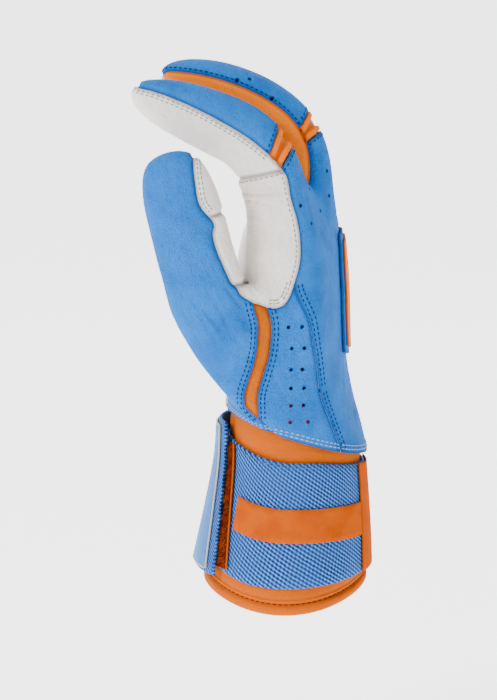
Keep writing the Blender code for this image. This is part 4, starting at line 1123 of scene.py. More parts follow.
def orange_cloth(name, rib, depth, roughness, shade_scale=1.0):
    """Orange cloth with ribs of this width and depth. The shade scale dims its colours as painted shade."""
    light, dark, hollow, seam = (
        tuple(part * shade_scale for part in colour)
        for colour in (ORANGE_LIGHT, ORANGE_DARK, ORANGE_HOLLOW_SHADE, ORANGE_SEAM_SHADE)
    )
    made, tree, shader = new_finish(name, light, roughness)
    place = object_place(tree)
    ribs = add_node(tree, "TexWave", {"bands_direction": "Y"}, Scale=0.314 / rib, Distortion=1.5, Detail=2.0)
    tree.links.new(place, ribs.inputs["Vector"])
    loops = noise_value(tree, place, rib * 0.5, 3.0)
    add_bumps(tree, shader, ((ribs.outputs["Fac"], depth), (loops, depth)))
    tone = mix_colour(tree, ramp(tree, loops, 0.3, 0.7), dark, light)
    tone = mix_colour(tree, ramp(tree, noise_value(tree, place, 12 * MM), 0.3, 0.7, 0.35, 0.0), tone, dark)
    # Painted shade: near each panel's edge the colour is drawn towards the seam shade colour.
    near = ramp(tree, measure_of(tree, "edge_distance"), 0.0, SEAM_SHADE_REACH, 0.7, 0.0)
    # Painted shade: the hollows beside an insert's ribs are drawn towards the darker hollow colour.
    tone = mix_colour(tree, measure_of(tree, "hollow"), tone, hollow)
    tree.links.new(mix_colour(tree, near, tone, seam), shader.inputs["Base Color"])
    add_sheen(shader)
    return made


ORANGE_KNIT = orange_cloth("orange_knit", KNIT_RIB, 0.05 * MM, 0.75)
# Painted shade: the same knit as the fourchettes, dimmed because the gusset faces the lamps.
SHADED_GUSSET_KNIT = orange_cloth("gusset_knit", KNIT_RIB, 0.05 * MM, 0.75, GUSSET_SHADE_SCALE)
ORANGE_FLEX = orange_cloth("orange_flex_sheet", 0.6 * MM, 0.015 * MM, 0.55)
print(ORANGE_KNIT.name, ORANGE_FLEX.name)

# %% [markdown]
# How a panel meets its neighbour decides how a glove looks. Where both edges are turned in, the surface
# dives into a groove. Where one panel laps over the other, its edge stands proud with its cut wall
# showing. Each point is therefore moved along the skin's own normal, by an amount that depends on its
# distance to each edge and on the kind of that edge.

# %% Heights of the panels
LIFT = {
    "web_wing": 0.85,
    "back_panel": 0.55,
    "side_panel": 0.25,
    "thumb_panel": 0.25,
    "thumb_gusset": -0.30,
    "palm": 0.20,
    "thumb_strip_upper": 0.30,
    "thumb_strip_lower": 0.30,
}
FINGER_BACK_LIFT = 0.45
PAD_LIFT = 0.15
INSERT_LIFT = -0.95
RIB_HEIGHT = 1.5
RIB_START = 0.1 * MM
RIB_SPAN = 1.15
RIB_FULLNESS = 0.4
LAPS = {
    ("web_wing", "side_panel"),
    ("web_wing", "back_panel"),
    ("web_wing", "thumb_panel"),
    ("web_wing", "thumb_gusset"),
    ("back_panel", "side_panel"),
    ("side_panel", "thumb_gusset"),
    ("thumb_panel", "thumb_gusset"),
}
LAPS |= {(name + "_back", name + "_knuckle_insert") for name in ("index", "middle", "ring", "pinky")}
LAPS |= {("back_panel", name + "_knuckle_insert") for name in ("index", "middle", "ring", "pinky")}
GROOVE = 0.75
LAP_GROOVE = 0.1
GROOVE_REACH = 2.1 * MM
ROUNDING = 0.22
ROUNDING_REACH = 0.9 * MM
EDGE_FAR = 8 * MM


def lift_of(name):
    if name in LIFT:
        return LIFT[name]
    if name.endswith("_back"):
        return FINGER_BACK_LIFT
    if name.endswith("_insert"):
        return INSERT_LIFT
    return PAD_LIFT if name.endswith("_pad") else 0.0


def edges_between_panels():
    """The points of each seam, by the panel and its neighbour. The glove's own rim counts as a neighbour."""
    found = {}
    for edge in skin.edges:
        names = [PANEL_NAMES[face] for face in edge.link_faces]
        if len(names) == 1:
            names.append("hem")
        if names[0] == names[1]:
            continue
        for mine, other in (names, names[::-1]):
            found.setdefault(mine, {}).setdefault(other, set()).update(edge.verts)
            found[mine].setdefault(other + "|edges", []).append(edge)
    return found


def tree_of(places):
    """A tree that finds the nearest of these places."""
    tree = KDTree(len(places))
    for number, place in enumerate(places):
        tree.insert(place, number)
    tree.balance()
    return tree


SEAMS = edges_between_panels()
SEAM_TREES = {}
for name in [name for name in SEAMS if name != "hem"]:
    seams = {other: verts for other, verts in SEAMS[name].items() if not other.endswith("|edges")}
    SEAM_TREES[name] = {other: tree_of([vert.co for vert in verts]) for other, verts in seams.items()}
print("seams:", sum(len(others) for others in SEAM_TREES.values()))

# %% [markdown]
# Worn leather isn't smooth. It creases where it bends: at the root of the thumb, across the palm side of
# the knuckles and where the wrist narrows. Each crease field below is a slow noise stretched along the
# crease and limited to its region, and its sharp valleys come from folding the noise about its middle.

# %% Creases and folds
Fold = namedtuple("Fold", "place reach across spacing depth")
FOLDS = (
    Fold((-0.024, -0.050, 0.118), 0.026, (0.85, 0.0, 0.55), 5.2, 0.55),
    Fold((-0.030, -0.050, 0.135), 0.016, (0.70, 0.0, 0.75), 3.6, 0.45),
    Fold((-0.008, -0.040, 0.100), 0.018, (0.60, 0.0, 0.85), 6.0, 0.35),
    Fold((0.004, -0.042, 0.090), 0.016, (-0.55, 0.0, 0.85), 9.0, 0.55),
    Fold((-0.010, -0.040, 0.162), 0.015, (0.25, 0.0, 1.0), 4.2, 0.60),
    Fold((-0.016, -0.030, 0.176), 0.012, (0.60, 0.0, 0.8), 3.4, 0.55),
    Fold((0.012, -0.044, 0.160), 0.018, (1.0, 0.0, 0.25), 7.0, 0.40),
    Fold((-0.050, -0.040, 0.192), 0.016, (0.9, 0.0, 0.4), 4.6, 0.30),
    Fold((-0.040, -0.052, 0.160), 0.020, (0.30, 0.3, 0.9), 6.0, 0.22),
    Fold((0.022, -0.010, 0.080), 0.022, (0.1, 0.2, 1.0), 6.5, 0.50),
    Fold((-0.022, 0.010, 0.090), 0.030, (0.1, 0.5, 1.0), 7.0, 0.60),
    Fold((0.018, 0.010, 0.150), 0.030, (0.2, 0.3, 1.0), 7.5, 0.40),
)
FOLD_STRENGTH = 1.7
FOLD_STRETCH = 4.5
FOLD_SHARPNESS = 5.0
FOLD_SWELL = 0.5
FOLD_SHIFT = 7.3
SLOW_WAVE = 0.40
SLOW_SIZE = 17 * MM


def creases(place):
    """The height of the folds at a place, in millimetres."""
    height = SLOW_WAVE * noise.noise(place / SLOW_SIZE)
    for number, fold in enumerate(FOLDS):
        away = (place - Vector(fold.place)).length / fold.reach
        if away >= 1:
            continue
        across = Vector(fold.across).normalized()
        along = place.dot(across)
        spacing = fold.spacing * MM
        field = across * (along / spacing) + (place - across * along) / (spacing * FOLD_STRETCH)
        value = noise.noise(field + Vector((number * FOLD_SHIFT, 0, 0)))
        valley = 1 - min(1.0, abs(value) * FOLD_SHARPNESS)
        height -= FOLD_STRENGTH * fold.depth * valley * valley * (1 - away**2) ** 2
        height += FOLD_STRENGTH * fold.depth * FOLD_SWELL * value * (1 - away**2) ** 2
    return height


def smoothstep(value):
    value = max(0.0, min(1.0, value))
    return value * value * (3 - 2 * value)


def rib_height(number, place):
    """The two round ribs of a knuckle insert, beside its low and its high edge."""
    height = 0.0
    for distance in (LOW_LINES[number](place), -HIGH_LINES[number](place)):
        inside = (distance - RIB_START) / (RIB_WIDTH * RIB_SPAN)
        if 0 < inside < 1:
            height = max(height, RIB_HEIGHT * math.sin(math.pi * inside) ** RIB_FULLNESS)
    return height


def panel_height(name, place):
    """A point's height over its skin in millimetres, its distance to the nearest edge and the share
    of painted shade in its hollow.
    """
    lift = lift_of(name)
    nearest, groove, rounding = EDGE_FAR, 0.0, 0.0
    for other, tree in SEAM_TREES[name].items():
        distance = tree.find(place)[2]
        nearest = min(nearest, distance)
        if (name, other) in LAPS or other == "hem":
            rounding = max(rounding, ROUNDING * (1 - smoothstep(distance / ROUNDING_REACH)))
        elif (other, name) in LAPS:
            groove = max(groove, LAP_GROOVE * (1 - smoothstep(distance / GROOVE_REACH)))
        else:
            groove = max(groove, 1 - smoothstep(distance / GROOVE_REACH))
    height = lift * (1 - groove) - GROOVE * groove - rounding + creases(place)
    hollow = 0.0
    if name.endswith("_insert"):
        number = [finger.name for finger in FINGERS].index(name.split("_")[0])
        rib = rib_height(number, place)
        height += rib
        # Painted shade: the lower the rib here, the more the colour is darkened, as shade falls in the
        # hollow.
        hollow = 1 - smoothstep(rib / RIB_HEIGHT)
    return height, nearest, hollow


print("folds:", len(FOLDS))

# %% [markdown]
# A panel is the skin with all other faces deleted. Its points move to their heights, its open edge is
# marked sharp, and Solidify gives the leather its wall, with the lighter cut edge on the rim.

# %% Make the panels
LEATHER_WALL = 1.15 * MM
skin.verts.layers.float.new("edge_distance")
# This measure carries the painted shade of the hollows beside the inserts' ribs.
skin.verts.layers.float.new("hollow")
OUTWARD = skin.verts.layers.float_vector.new("outward")
for vert in skin.verts:
    vert[OUTWARD] = vert.normal
skin.faces.index_update()
FACE_NAMES = [PANEL_NAMES[face] for face in skin.faces]
PALE_NODES = ("palm", "web_wing", "thumb_strip_upper", "thumb_strip_lower")


def finish_of(name):
    """A panel's finish, the finish of its cut edge and its slot."""
    if name in PALE_NODES or name.endswith("_pad"):
        return PALE_LEATHER, PALE_CUT, "pale_leather"
    if name.endswith("_insert"):
        return ORANGE_FLEX, ORANGE_FLEX, "orange_rubber"
    if name == "thumb_gusset":
        return SHADED_GUSSET_KNIT, SHADED_GUSSET_KNIT, "orange_fabric"
    if name.endswith("_fourchette"):
        return ORANGE_KNIT, ORANGE_KNIT, "orange_fabric"
    return BLUE_LEATHER, BLUE_CUT, "blue_leather"


def add_piece(name, bm, finishes, slot, nodes=()):
    """Makes a smooth object of a bmesh, which rides on the glove's one body."""
    for face in bm.faces:
        face.smooth = True
    obj = object_of(name, bm)
    for finish in finishes:
        obj.data.materials.append(finish)
    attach(obj, "root")
    if nodes:
        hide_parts(*nodes)
    return obj


def make_panel(name):
    bm = skin.copy()
    bm.faces.ensure_lookup_table()
    others = [face for face in bm.faces if FACE_NAMES[face.index] != name]
    bmesh.ops.delete(bm, geom=others, context="FACES")
    outward = bm.verts.layers.float_vector["outward"]
    edge_distance = bm.verts.layers.float["edge_distance"]
    hollow_shade_layer = bm.verts.layers.float["hollow"]
    for vert in bm.verts:
        height, distance, hollow = panel_height(name, vert.co)
        vert.co += vert[outward] * height * MM
        vert[edge_distance] = distance
        # The painted shade of the hollow is stored for the finish to read.
        vert[hollow_shade_layer] = hollow
    for face in bm.faces:
        face.material_index = 0
    for edge in bm.edges:
        edge.smooth = not edge.is_boundary
    finish, cut, slot = finish_of(name)
    tree = BVHTree.FromBMesh(bm)
    obj = add_piece("dressed_" + name, bm, (finish, cut), slot, (name,))
    wall = obj.modifiers.new("wall", "SOLIDIFY")
    wall.thickness = LEATHER_WALL
    wall.offset = -1
    wall.material_offset_rim = 1
    return obj, tree


DRESSED, SURFACES = {}, {}
for name in sorted(PANELS):
    DRESSED[name], SURFACES[name] = make_panel(name)
print("panels:", len(DRESSED))

# %% [markdown]
# Perforations let the hand breathe. Each is a real hole, cut by a Boolean with a bundle of small cylinders
# that stand square to the leather. A dark dot in the colour would be cheaper, but it would stay flat when
# the light comes from the side. The holes are placed as the eye sees them from the thumb side.

# %% Pierce the leather
HOLE_WIDTH = 1.5 * MM
HOLE_SIDES = 10
HOLE_DEPTH = 6 * LEATHER_WALL
Hole = namedtuple("Hole", "panel dorsal height")
SIDE_HOLE_ROWS = (
    (0.468, 0.03, 0.27),
    (0.379, 0.09, 0.31),
    (0.290, 0.08, 0.28),
    (0.213, 0.08, 0.31),
    (0.140, 0.08, 0.30),
    (0.071, 0.07, 0.38),
)
BACK_HOLES = (
    Hole("back_panel", 0.0088, 0.1655),
    Hole("back_panel", 0.0052, 0.1600),
    Hole("back_panel", 0.0132, 0.1568),
    Hole("back_panel", 0.0094, 0.1530),
    Hole("back_panel", 0.0160, 0.1715),
    Hole("back_panel", 0.0168, 0.1618),
    Hole("middle_back", -0.0190, 0.2068),
    Hole("middle_back", -0.0142, 0.2072),
    Hole("middle_back", -0.0055, 0.1998),
    Hole("index_back", -0.0495, 0.1998),
    Hole("index_back", -0.0362, 0.1950),
)


def all_holes():
    holes = list(BACK_HOLES)
    for height, *dorsals in SIDE_HOLE_ROWS:
        for dorsal in dorsals:
            holes.append(Hole("side_panel", dorsal * HAND_HALF_DEPTH, blend(HEM_HEIGHT, WEB_HEIGHT, height)))
    return holes


def pierce(name, holes):
    """Cuts round holes in a panel, seen from the thumb side, and keeps the cut mesh."""
    bm = bmesh.new()
    for hole in holes:
        start = Vector((hole.dorsal, -0.1, hole.height))
        place, normal, _, _ = SURFACES[name].ray_cast(start, Vector((0, 1, 0)))
        if place is None:
            print("no leather under the hole at", hole)
            continue
        turn = normal.to_track_quat("Z", "Y").to_matrix().to_4x4()
        turn.translation = place
        bmesh.ops.create_cone(
            bm, cap_ends=True, segments=HOLE_SIDES, radius1=HOLE_WIDTH / 2, radius2=HOLE_WIDTH / 2,
            depth=HOLE_DEPTH, matrix=turn,
        )
    if not bm.faces:
        bm.free()
        return
    punch = object_of("punch", bm)
    panel = DRESSED[name]
    cut = panel.modifiers.new("holes", "BOOLEAN")
    cut.operation = "DIFFERENCE"
    cut.object = punch
    graph = bpy.context.evaluated_depsgraph_get()
    pierced = bpy.data.meshes.new_from_object(panel.evaluated_get(graph))
    panel.modifiers.clear()
    panel.data = pierced
    bpy.data.objects.remove(punch, do_unlink=True)


for name in ("side_panel", "back_panel", "middle_back", "index_back"):
    pierce(name, [hole for hole in all_holes() if hole.panel == name])
    print(name, "has", len(DRESSED[name].data.polygons), "faces after piercing")

# %% [markdown]
# Stitches follow the seams. The seam's points are put in order, smoothed and read off at the stitch's
# pitch. Each stitch is a short rounded thread, laid on the surface of its panel a set distance from the
# edge. They are small spheres stretched and turned by matrices, joined into one mesh for each row.

# %% Ordered seams


def seam_chain(panel, neighbour):
    """The longest chain of points between two panels, in order."""
    edges = list(dict.fromkeys(SEAMS[panel].get(neighbour + "|edges", ())))
    links = {}
    for edge in edges:
        a, b = edge.verts
        links.setdefault(a, []).append(b)
        links.setdefault(b, []).append(a)
    best, seen = [], set()
    starts = sorted(links, key=lambda vert: (len(links[vert]) != 1, vert.index))
    for start in starts:
        if start in seen:
            continue
        chain = [start]
        seen.add(start)
        while True:
            following = [vert for vert in links[chain[-1]] if vert not in seen]
            if not following:
                break
            seen.add(following[0])
            chain.append(following[0])
        if len(chain) > len(best):
            best = chain
    return best


def smoothed(points, rounds=6):
    for _ in range(rounds):
        inner = [(a + 2 * b + c) / 4 for a, b, c in zip(points, points[1:], points[2:])]
        points = [points[0]] + inner + [points[-1]]
    return points


def evenly(points, pitch):
    """Points at even steps along a line, with the direction of the line there."""
    found, left = [], pitch / 2
    for a, b in zip(points, points[1:]):
        length = (b - a).length
        while left < length:
            found.append((a.lerp(b, left / length), (b - a).normalized()))
            left += pitch
        left -= length
    return found


skin.verts.index_update()
print("the wing's seam has", len(seam_chain("web_wing", "back_panel")), "points")

# %% [markdown]
# Thread sinks a little into leather, so a stitch is set low, and the leather round it is drawn in by the
# panel's own grooves. The long navy rows are doubled, as on the real glove, and the hem has two pale rows.

# %% Sew the seams
STITCH_LENGTH = 1.55 * MM
STITCH_PITCH = 2.05 * MM
STITCH_WIDTH = 0.50 * MM
STITCH_LIFT = 0.12
STITCH_FLATNESS = 0.85
STITCH_REACH = 3 * MM
SHORTEST_SEAM = 6
Sewing = namedtuple("Sewing", "panel neighbour offsets thread")
NAVY, PALE, GREY = NAVY_THREAD, PALE_THREAD, GREY_THREAD
SEWING = (
    Sewing("back_panel", "side_panel", (1.3, 2.9), NAVY),
    Sewing("side_panel", "thumb_gusset", (1.3, 2.8), NAVY),
    Sewing("thumb_panel", "thumb_gusset", (1.3, 2.8), NAVY),
    Sewing("web_wing", "back_panel", (1.6,), GREY),
    Sewing("web_wing", "side_panel", (1.6, 2.9), GREY),
    Sewing("web_wing", "thumb_panel", (1.6,), GREY),
    Sewing("web_wing", "index_pad", (1.5,), GREY),
    Sewing("web_wing", "palm", (1.5,), GREY),
    Sewing("thumb_strip_upper", "thumb_panel", (1.3, 2.5), GREY),
    Sewing("thumb_strip_lower", "thumb_panel", (1.3, 2.5), GREY),
    Sewing("index_pad", "index_back", (1.2, 2.4), GREY),
    Sewing("index_back", "index_knuckle_insert", (1.3,), NAVY),
    Sewing("back_panel", "index_knuckle_insert", (1.3,), NAVY),
    Sewing("index_back", "index_middle_fourchette", (1.3,), NAVY),
    Sewing("middle_back", "index_middle_fourchette", (1.3,), NAVY),
    Sewing("middle_back", "middle_knuckle_insert", (1.3,), NAVY),
    Sewing("back_panel", "middle_knuckle_insert", (1.3,), NAVY),
    Sewing("back_panel", "ring_knuckle_insert", (1.3,), NAVY),
    Sewing("back_panel", "pinky_knuckle_insert", (1.3,), NAVY),
    Sewing("ring_back", "ring_knuckle_insert", (1.3,), NAVY),
    Sewing("pinky_back", "pinky_knuckle_insert", (1.3,), NAVY),
    Sewing("palm", "thumb_panel", (1.4, 2.6), GREY),
    Sewing("palm", "back_panel", (1.4,), GREY),
    Sewing("back_panel", "hem", (1.6, 3.0), PALE),
    Sewing("side_panel", "hem", (1.6, 3.0), PALE),
    Sewing("thumb_panel", "hem", (1.6, 3.0), PALE),
    Sewing("palm", "hem", (1.6, 3.0), PALE),
)


def add_stitch(bm, place, along, normal, length=STITCH_LENGTH, width=STITCH_WIDTH):
    """One rounded stitch, lying along a direction on a surface."""
    side = normal.cross(along).normalized()
    along = side.cross(normal).normalized()
    turn = Matrix((along, side, normal)).transposed().to_4x4()
    turn.translation = place + normal * width * STITCH_LIFT
    size = Matrix.Diagonal((length, width, width * STITCH_FLATNESS, 1))
    bmesh.ops.create_uvsphere(bm, u_segments=6, v_segments=5, radius=0.5, matrix=turn @ size)


def sew(sewing):
    chain = seam_chain(sewing.panel, sewing.neighbour)
    if len(chain) < SHORTEST_SEAM:
        print("no seam between", sewing.panel, "and", sewing.neighbour)
        return
    tree = SURFACES[sewing.panel]
    beside = [face for vert in chain for face in vert.link_faces if PANEL_NAMES[face] == sewing.panel]
    inside = tree_of([face.calc_center_median() for face in beside])
    points = smoothed([vert.co.copy() for vert in chain])
    bm = bmesh.new()
    for place, along in evenly(points, STITCH_PITCH):
        _, normal, _, _ = tree.find_nearest(place)
        side = normal.cross(along).normalized()
        inward = inside.find(place)[0] - place
        if side.dot(inward) < 0:
            side.negate()
        for offset in sewing.offsets:
            spot, normal, _, away = tree.find_nearest(place + side * offset * MM)
            if spot is not None and away < STITCH_REACH:
                add_stitch(bm, spot, along, normal)
    name = "stitches_" + sewing.panel + "_" + sewing.neighbour
    add_piece(name, bm, (sewing.thread,), finish_of(sewing.panel)[2])
    print(name)


for sewing in SEWING:
    sew(sewing)
# %% [markdown]
# The wrist has its own sizes: a padded cuff with a bound hem, a woven strap round it, and the strap's end,
# which closes over a strip of hooks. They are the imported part's sizes again, so every layer lies on the one
# below it with the same small gap.

# %% Sizes of the wrist
LAYER_GAP = 0.0004
LAP = 0.006
CUFF_WALL = 0.0026
CUFF_DIP = 0.006
BINDING = 0.0042
STRAP_WALL = 0.0015
STRAP_FOOT = 0.011
STRAP_HEIGHT = 0.048
STRAP_PALM_LIFT = 0.008
STRAP_BACK_LIFT = 0.0025
STRAP_PALM_RISE = 0.007
STRAP_BACK_FALL = 0.004
STRIPE_WIDTH = 0.013
STRIPE_WALL = 0.0006
TAB_WALL = 0.0015
TAB_LIFT = 0.002
TAB_OVER = 0.013
TAB_BORDER = 0.002
TAB_LEAN = 7
TAB_START, TAB_END = 60, 150
TAB_PATCH_START, TAB_PATCH_END = 67, 145
HOOK_WALL = 0.0011
HOOK_WIDTH = 0.0045
HOOK_END = 80
STRIPE_START, STRIPE_END = 46, -60
PANEL_START, PANEL_END = -61, -104


def cuff_foot(angle):
    return CUFF_DIP * math.sin(angle) ** 2


def strap_foot(angle):
    side = math.sin(angle)
    return STRAP_FOOT + (STRAP_PALM_LIFT * side**3 if side > 0 else STRAP_BACK_LIFT * side**2)


def strap_top(angle):
    rise = STRAP_PALM_RISE if math.sin(angle) > 0 else -STRAP_BACK_FALL
    return STRAP_FOOT + STRAP_HEIGHT + rise * math.sin(angle) ** 2


def spread(start, end, count):
    return [blend(start, end, number / (count - 1)) for number in range(count)]


def spread_degrees(start, end, count):
    return spread(math.radians(start), math.radians(end), count)


print("strap on the thumb side:", round(strap_foot(0) / MM), "to", round(strap_top(0) / MM), "mm")

# %% [markdown]
# Every piece of the wrist is a profile carried round it. The profile is a closed loop of points: up the
# outside, over the edge and down the inside. A UV map named "band" keeps the way round the wrist and the
# height, both in metres, because a weave has to follow the band and not the room.

# %% Carry a profile round the wrist


def carry_round(angles, profile, closed):
    """A bmesh of a profile carried from angle to angle, with its UV map, and its rings of points."""
    bm = bmesh.new()
    band = bm.loops.layers.uv.new("band")
    rings = carry_loop(bm, [profile(angle) for angle in angles])
    ends = [loop_edges(bm, ring) for ring in (rings[0], rings[-1])]
    if closed:
        bmesh.ops.bridge_loops(bm, edges=ends[0] + ends[1])
    else:
        for edges in ends:
            bmesh.ops.contextual_create(bm, geom=edges)
    way, before, ways = 0.0, wrist_point(angles[0], STRAP_FOOT), {}
    for ring, angle in zip(rings, angles):
        here = wrist_point(angle, STRAP_FOOT)
        way, before = way + (here - before).length, here
        ways.update({vert: way for vert in ring})
    bmesh.ops.recalc_face_normals(bm, faces=bm.faces)
    for face in bm.faces:
        farthest = max(ways[vert] for vert in face.verts)
        for corner in face.loops:
            here = ways[corner.vert]
            if farthest - here > way / 2:
                here += way + (wrist_point(angles[0], STRAP_FOOT) - before).length
            corner[band].uv = (here, corner.vert.co.z)
    return bm, rings


def band_profile(low, high, out, wall, rows, lean=0.0, edge=0.35):
    """A flat band's profile with rounded edges. Its height runs between two functions of the angle."""

    def profile(angle):
        foot, top = low(angle), high(angle)
        middle, half = (foot + top) / 2, (top - foot) / 2

        def point(height, depth):
            return wrist_point(angle + lean * (height - middle) / half, height, depth)

        inset = wall * edge
        heights = spread(foot + inset, top - inset, rows)
        inner = [point(height, out) for height in heights]
        outer = [point(height, out + wall) for height in heights[::-1]]
        over = [point(top, out + wall * share) for share in (0.3, 0.7)]
        under = [point(foot, out + wall * share) for share in (0.7, 0.3)]
        return inner + over + outer + under

    return profile


CLOSING_ANGLE = 110


def round_angles(sides):
    """Angles all round the wrist. They start and end under the tab, where a closing seam doesn't show."""
    return [math.radians(CLOSING_ANGLE) + 2 * math.pi * side / sides for side in range(sides)]


print("profiles ready")

# %% [markdown]
# The cuff is a padded knit, so it swells where nothing holds it. Blender's Cloth with a little pressure
# inside gives that swelling, where a plain profile would look like a pipe. The points under the strap, at
# the inner wall and in the hem are pinned, and no point may move more than a set way. The points lie only
# two millimetres apart, so each of them has little mass and the pressure is high.

# %% The padded cuff
CUFF_SIDES = 144
CUFF_ROWS = 44
CUFF_INNER_ROWS = 8
GROOVE_HEIGHT = 1.05
GROOVE_DEPTH = 0.42
CUFF_SWELL_MOST = 1.3 * MM
CUFF_PRESSURE = 7000.0
POINT_MASS = 0.0001
CUFF_STIFFNESS = 0.5
PIN_STIFFNESS = 6.0
CLOTH_QUALITY = 4
CUFF_STEPS = 20
HELD_ROWS = 4
OPEN_FADE = 2 * MM
HELD_FADE = 1.5 * MM
HEM_PROFILE = (
    (0.00, -0.50), (0.03, -0.10), (0.16, 0.16), (0.34, 0.27), (0.52, 0.30), (0.70, 0.27),
    (0.86, 0.15), (0.97, -0.08), (GROOVE_HEIGHT, -GROOVE_DEPTH), (1.14, -0.10), (1.28, 0.08), (1.44, 0.06),
    (1.52, -0.10), (1.66, 0.0),
)


def cuff_profile(angle):
    foot = cuff_foot(angle)
    top = hem_point(angle, 0.0, LAP).z
    places = [wrist_point(angle, foot + up * BINDING, out * CUFF_WALL) for up, out in HEM_PROFILE]
    heights = spread(foot + HEM_PROFILE[-1][0] * BINDING, top, CUFF_ROWS)
    places += [wrist_point(angle, height, 0.0) for height in heights[1:]]
    places += [wrist_point(angle, height, -CUFF_WALL) for height in spread(top, foot, CUFF_INNER_ROWS)]
    return places


def free_share(vert, number, angle):
    """How free a point of the cuff is to swell: 1 in the open bands, 0 where something holds it."""
    if number < len(HEM_PROFILE) or number > len(HEM_PROFILE) + CUFF_ROWS - HELD_ROWS:
        return 0.0
    height = vert.co.z
    over_hem = height - cuff_foot(angle) - BINDING * HEM_PROFILE[-1][0]
    under_strap = strap_foot(angle) - height
    over_strap = height - strap_top(angle)
    under_leather = hem_point(angle, 0.0).z - height
    low = smoothstep(over_hem / OPEN_FADE) * smoothstep(under_strap / HELD_FADE)
    high = smoothstep(over_strap / OPEN_FADE) * smoothstep(under_leather / HELD_FADE)
    return max(low, high)


def inflate(obj, pins, most):
    """Lets a closed mesh swell as cloth under pressure, and keeps the swollen shape."""
    group = obj.vertex_groups.new(name="held")
    for number, share in enumerate(pins):
        group.add([number], share, "REPLACE")
    before = [vert.co.copy() for vert in obj.data.vertices]
    cloth = obj.modifiers.new("cloth", "CLOTH")
    cloth.settings.vertex_group_mass = "held"
    cloth.settings.pin_stiffness = PIN_STIFFNESS
    cloth.settings.mass = POINT_MASS
    cloth.settings.use_pressure = True
    cloth.settings.uniform_pressure_force = CUFF_PRESSURE
    cloth.settings.effector_weights.gravity = 0
    cloth.settings.quality = CLOTH_QUALITY
    cloth.settings.tension_stiffness = CUFF_STIFFNESS
    cloth.settings.compression_stiffness = CUFF_STIFFNESS
    cloth.collision_settings.use_collision = False
    for step in range(1, CUFF_STEPS + 1):
        bpy.context.scene.frame_set(step)
    graph = bpy.context.evaluated_depsgraph_get()
    swollen = obj.evaluated_get(graph).to_mesh()
    after = [vert.co.copy() for vert in swollen.vertices]
    obj.evaluated_get(graph).to_mesh_clear()
    obj.modifiers.clear()
    obj.vertex_groups.clear()
    moved = 0.0
    for vert, old, new, pin in zip(obj.data.vertices, before, after, pins):
        way = (new - old) * (1 - pin)
        if way.length > most:
            way = way.normalized() * most
        moved = max(moved, way.length)
        vert.co = old + way
    bpy.context.scene.frame_set(1)
    print(obj.name, "swelled by up to", round(moved / MM, 2), "mm")


def build_cuff(finish):
    angles = round_angles(CUFF_SIDES)
    bm, rings = carry_round(angles, cuff_profile, closed=True)
    bm.verts.index_update()
    pins = [1.0] * len(bm.verts)
    for ring, angle in zip(rings, angles):
        for number, vert in enumerate(ring):
            pins[vert.index] = 1 - free_share(vert, number, angle)
    obj = add_piece("dressed_cuff", bm, (finish,), "orange_knit", ("cuff",))
    inflate(obj, pins, CUFF_SWELL_MOST)
    finer = obj.modifiers.new("finer", "SUBSURF")
    finer.levels = 1
    finer.render_levels = 1
    return obj


print("cuff rows:", CUFF_ROWS)

# %% [markdown]
# A stretch knit for a cuff has fine upright ribs. Their waves read the first number of the UV map "band",
# the way round the wrist, and the loops along each rib read the second, the height. The folds of a worn
# cuff are soft, level and slightly uneven. They come from a slow noise that is drawn out round the wrist.

# %% Knit of the cuff
CUFF_RIB = 0.62 * MM
CUFF_LIGHT = (0.540, 0.105, 0.0003)
CUFF_DARK = (0.400, 0.062, 0.0003)


def measures(tree):
    """The way round and the height, from the piece's own UV map."""
    return add_node(tree, "UVMap", {"uv_map": "band"}).outputs["UV"]


def stretched(tree, vector, stretch, turn=0.0):
    mapped = add_node(tree, "Mapping", Scale=stretch, Rotation=(0, 0, turn))
    tree.links.new(vector, mapped.inputs["Vector"])
    return mapped.outputs["Vector"]


def wave(tree, vector, period, direction="X", distortion=0.0):
    made = add_node(tree, "TexWave", {"bands_direction": direction}, Scale=math.pi / 10 / period)
    made.inputs["Distortion"].default_value = distortion
    made.inputs["Detail Scale"].default_value = 1.5
    tree.links.new(vector, made.inputs["Vector"])
    return made.outputs["Fac"]


def cuff_knit():
    made, tree, shader = new_finish("cuff_knit", CUFF_LIGHT, 0.8)
    place = measures(tree)
    ribs = wave(tree, place, CUFF_RIB)
    loops = wave(tree, place, CUFF_RIB * 0.8, "Y")
    folds = noise_value(tree, stretched(tree, place, (0.22, 1.0, 1.0)), 7 * MM, 3.0)
    fuzz = noise_value(tree, object_place(tree), 0.25 * MM, 2.0)
    heights = ((folds, 1.2 * MM), (ribs, 0.09 * MM), (loops, 0.05 * MM), (fuzz, 0.04 * MM))
    add_bumps(tree, shader, heights)
    tone = mix_colour(tree, ramp(tree, ribs, 0.0, 0.6, 0.45, 1.0), CUFF_DARK, CUFF_LIGHT)
    tone = mix_colour(tree, ramp(tree, fuzz, 0.30, 0.55, 0.35, 0.0), tone, CUFF_DARK)
    patches = noise_value(tree, object_place(tree), 15 * MM, 3.0)
    tone = mix_colour(tree, ramp(tree, patches, 0.35, 0.7, 0.0, 0.3), tone, CUFF_DARK)
    tree.links.new(tone, shader.inputs["Base Color"])
    add_sheen(shader)
    return made


CUFF = build_cuff(cuff_knit())
print("cuff:", len(CUFF.data.polygons), "faces")
# %% [markdown]
# The strap is webbing: thick light threads laid slantwise, with dark gaps between them where they cross a
# second, finer set. Two waves at different slants give both the colour and the bump. Modelling each thread
# would cost millions of faces and look no different at this distance.

# %% Webbing
WEAVE_PERIOD = 1.38 * MM
WEAVE_CROSS = 1.60 * MM
WEAVE_SLANT = math.radians(58)
WEAVE_CROSS_SLANT = math.radians(-8)
WEB_LIGHT = (0.085, 0.280, 0.800)
WEB_MIDDLE = (0.028, 0.095, 0.320)
WEB_DARK = (0.004, 0.013, 0.065)


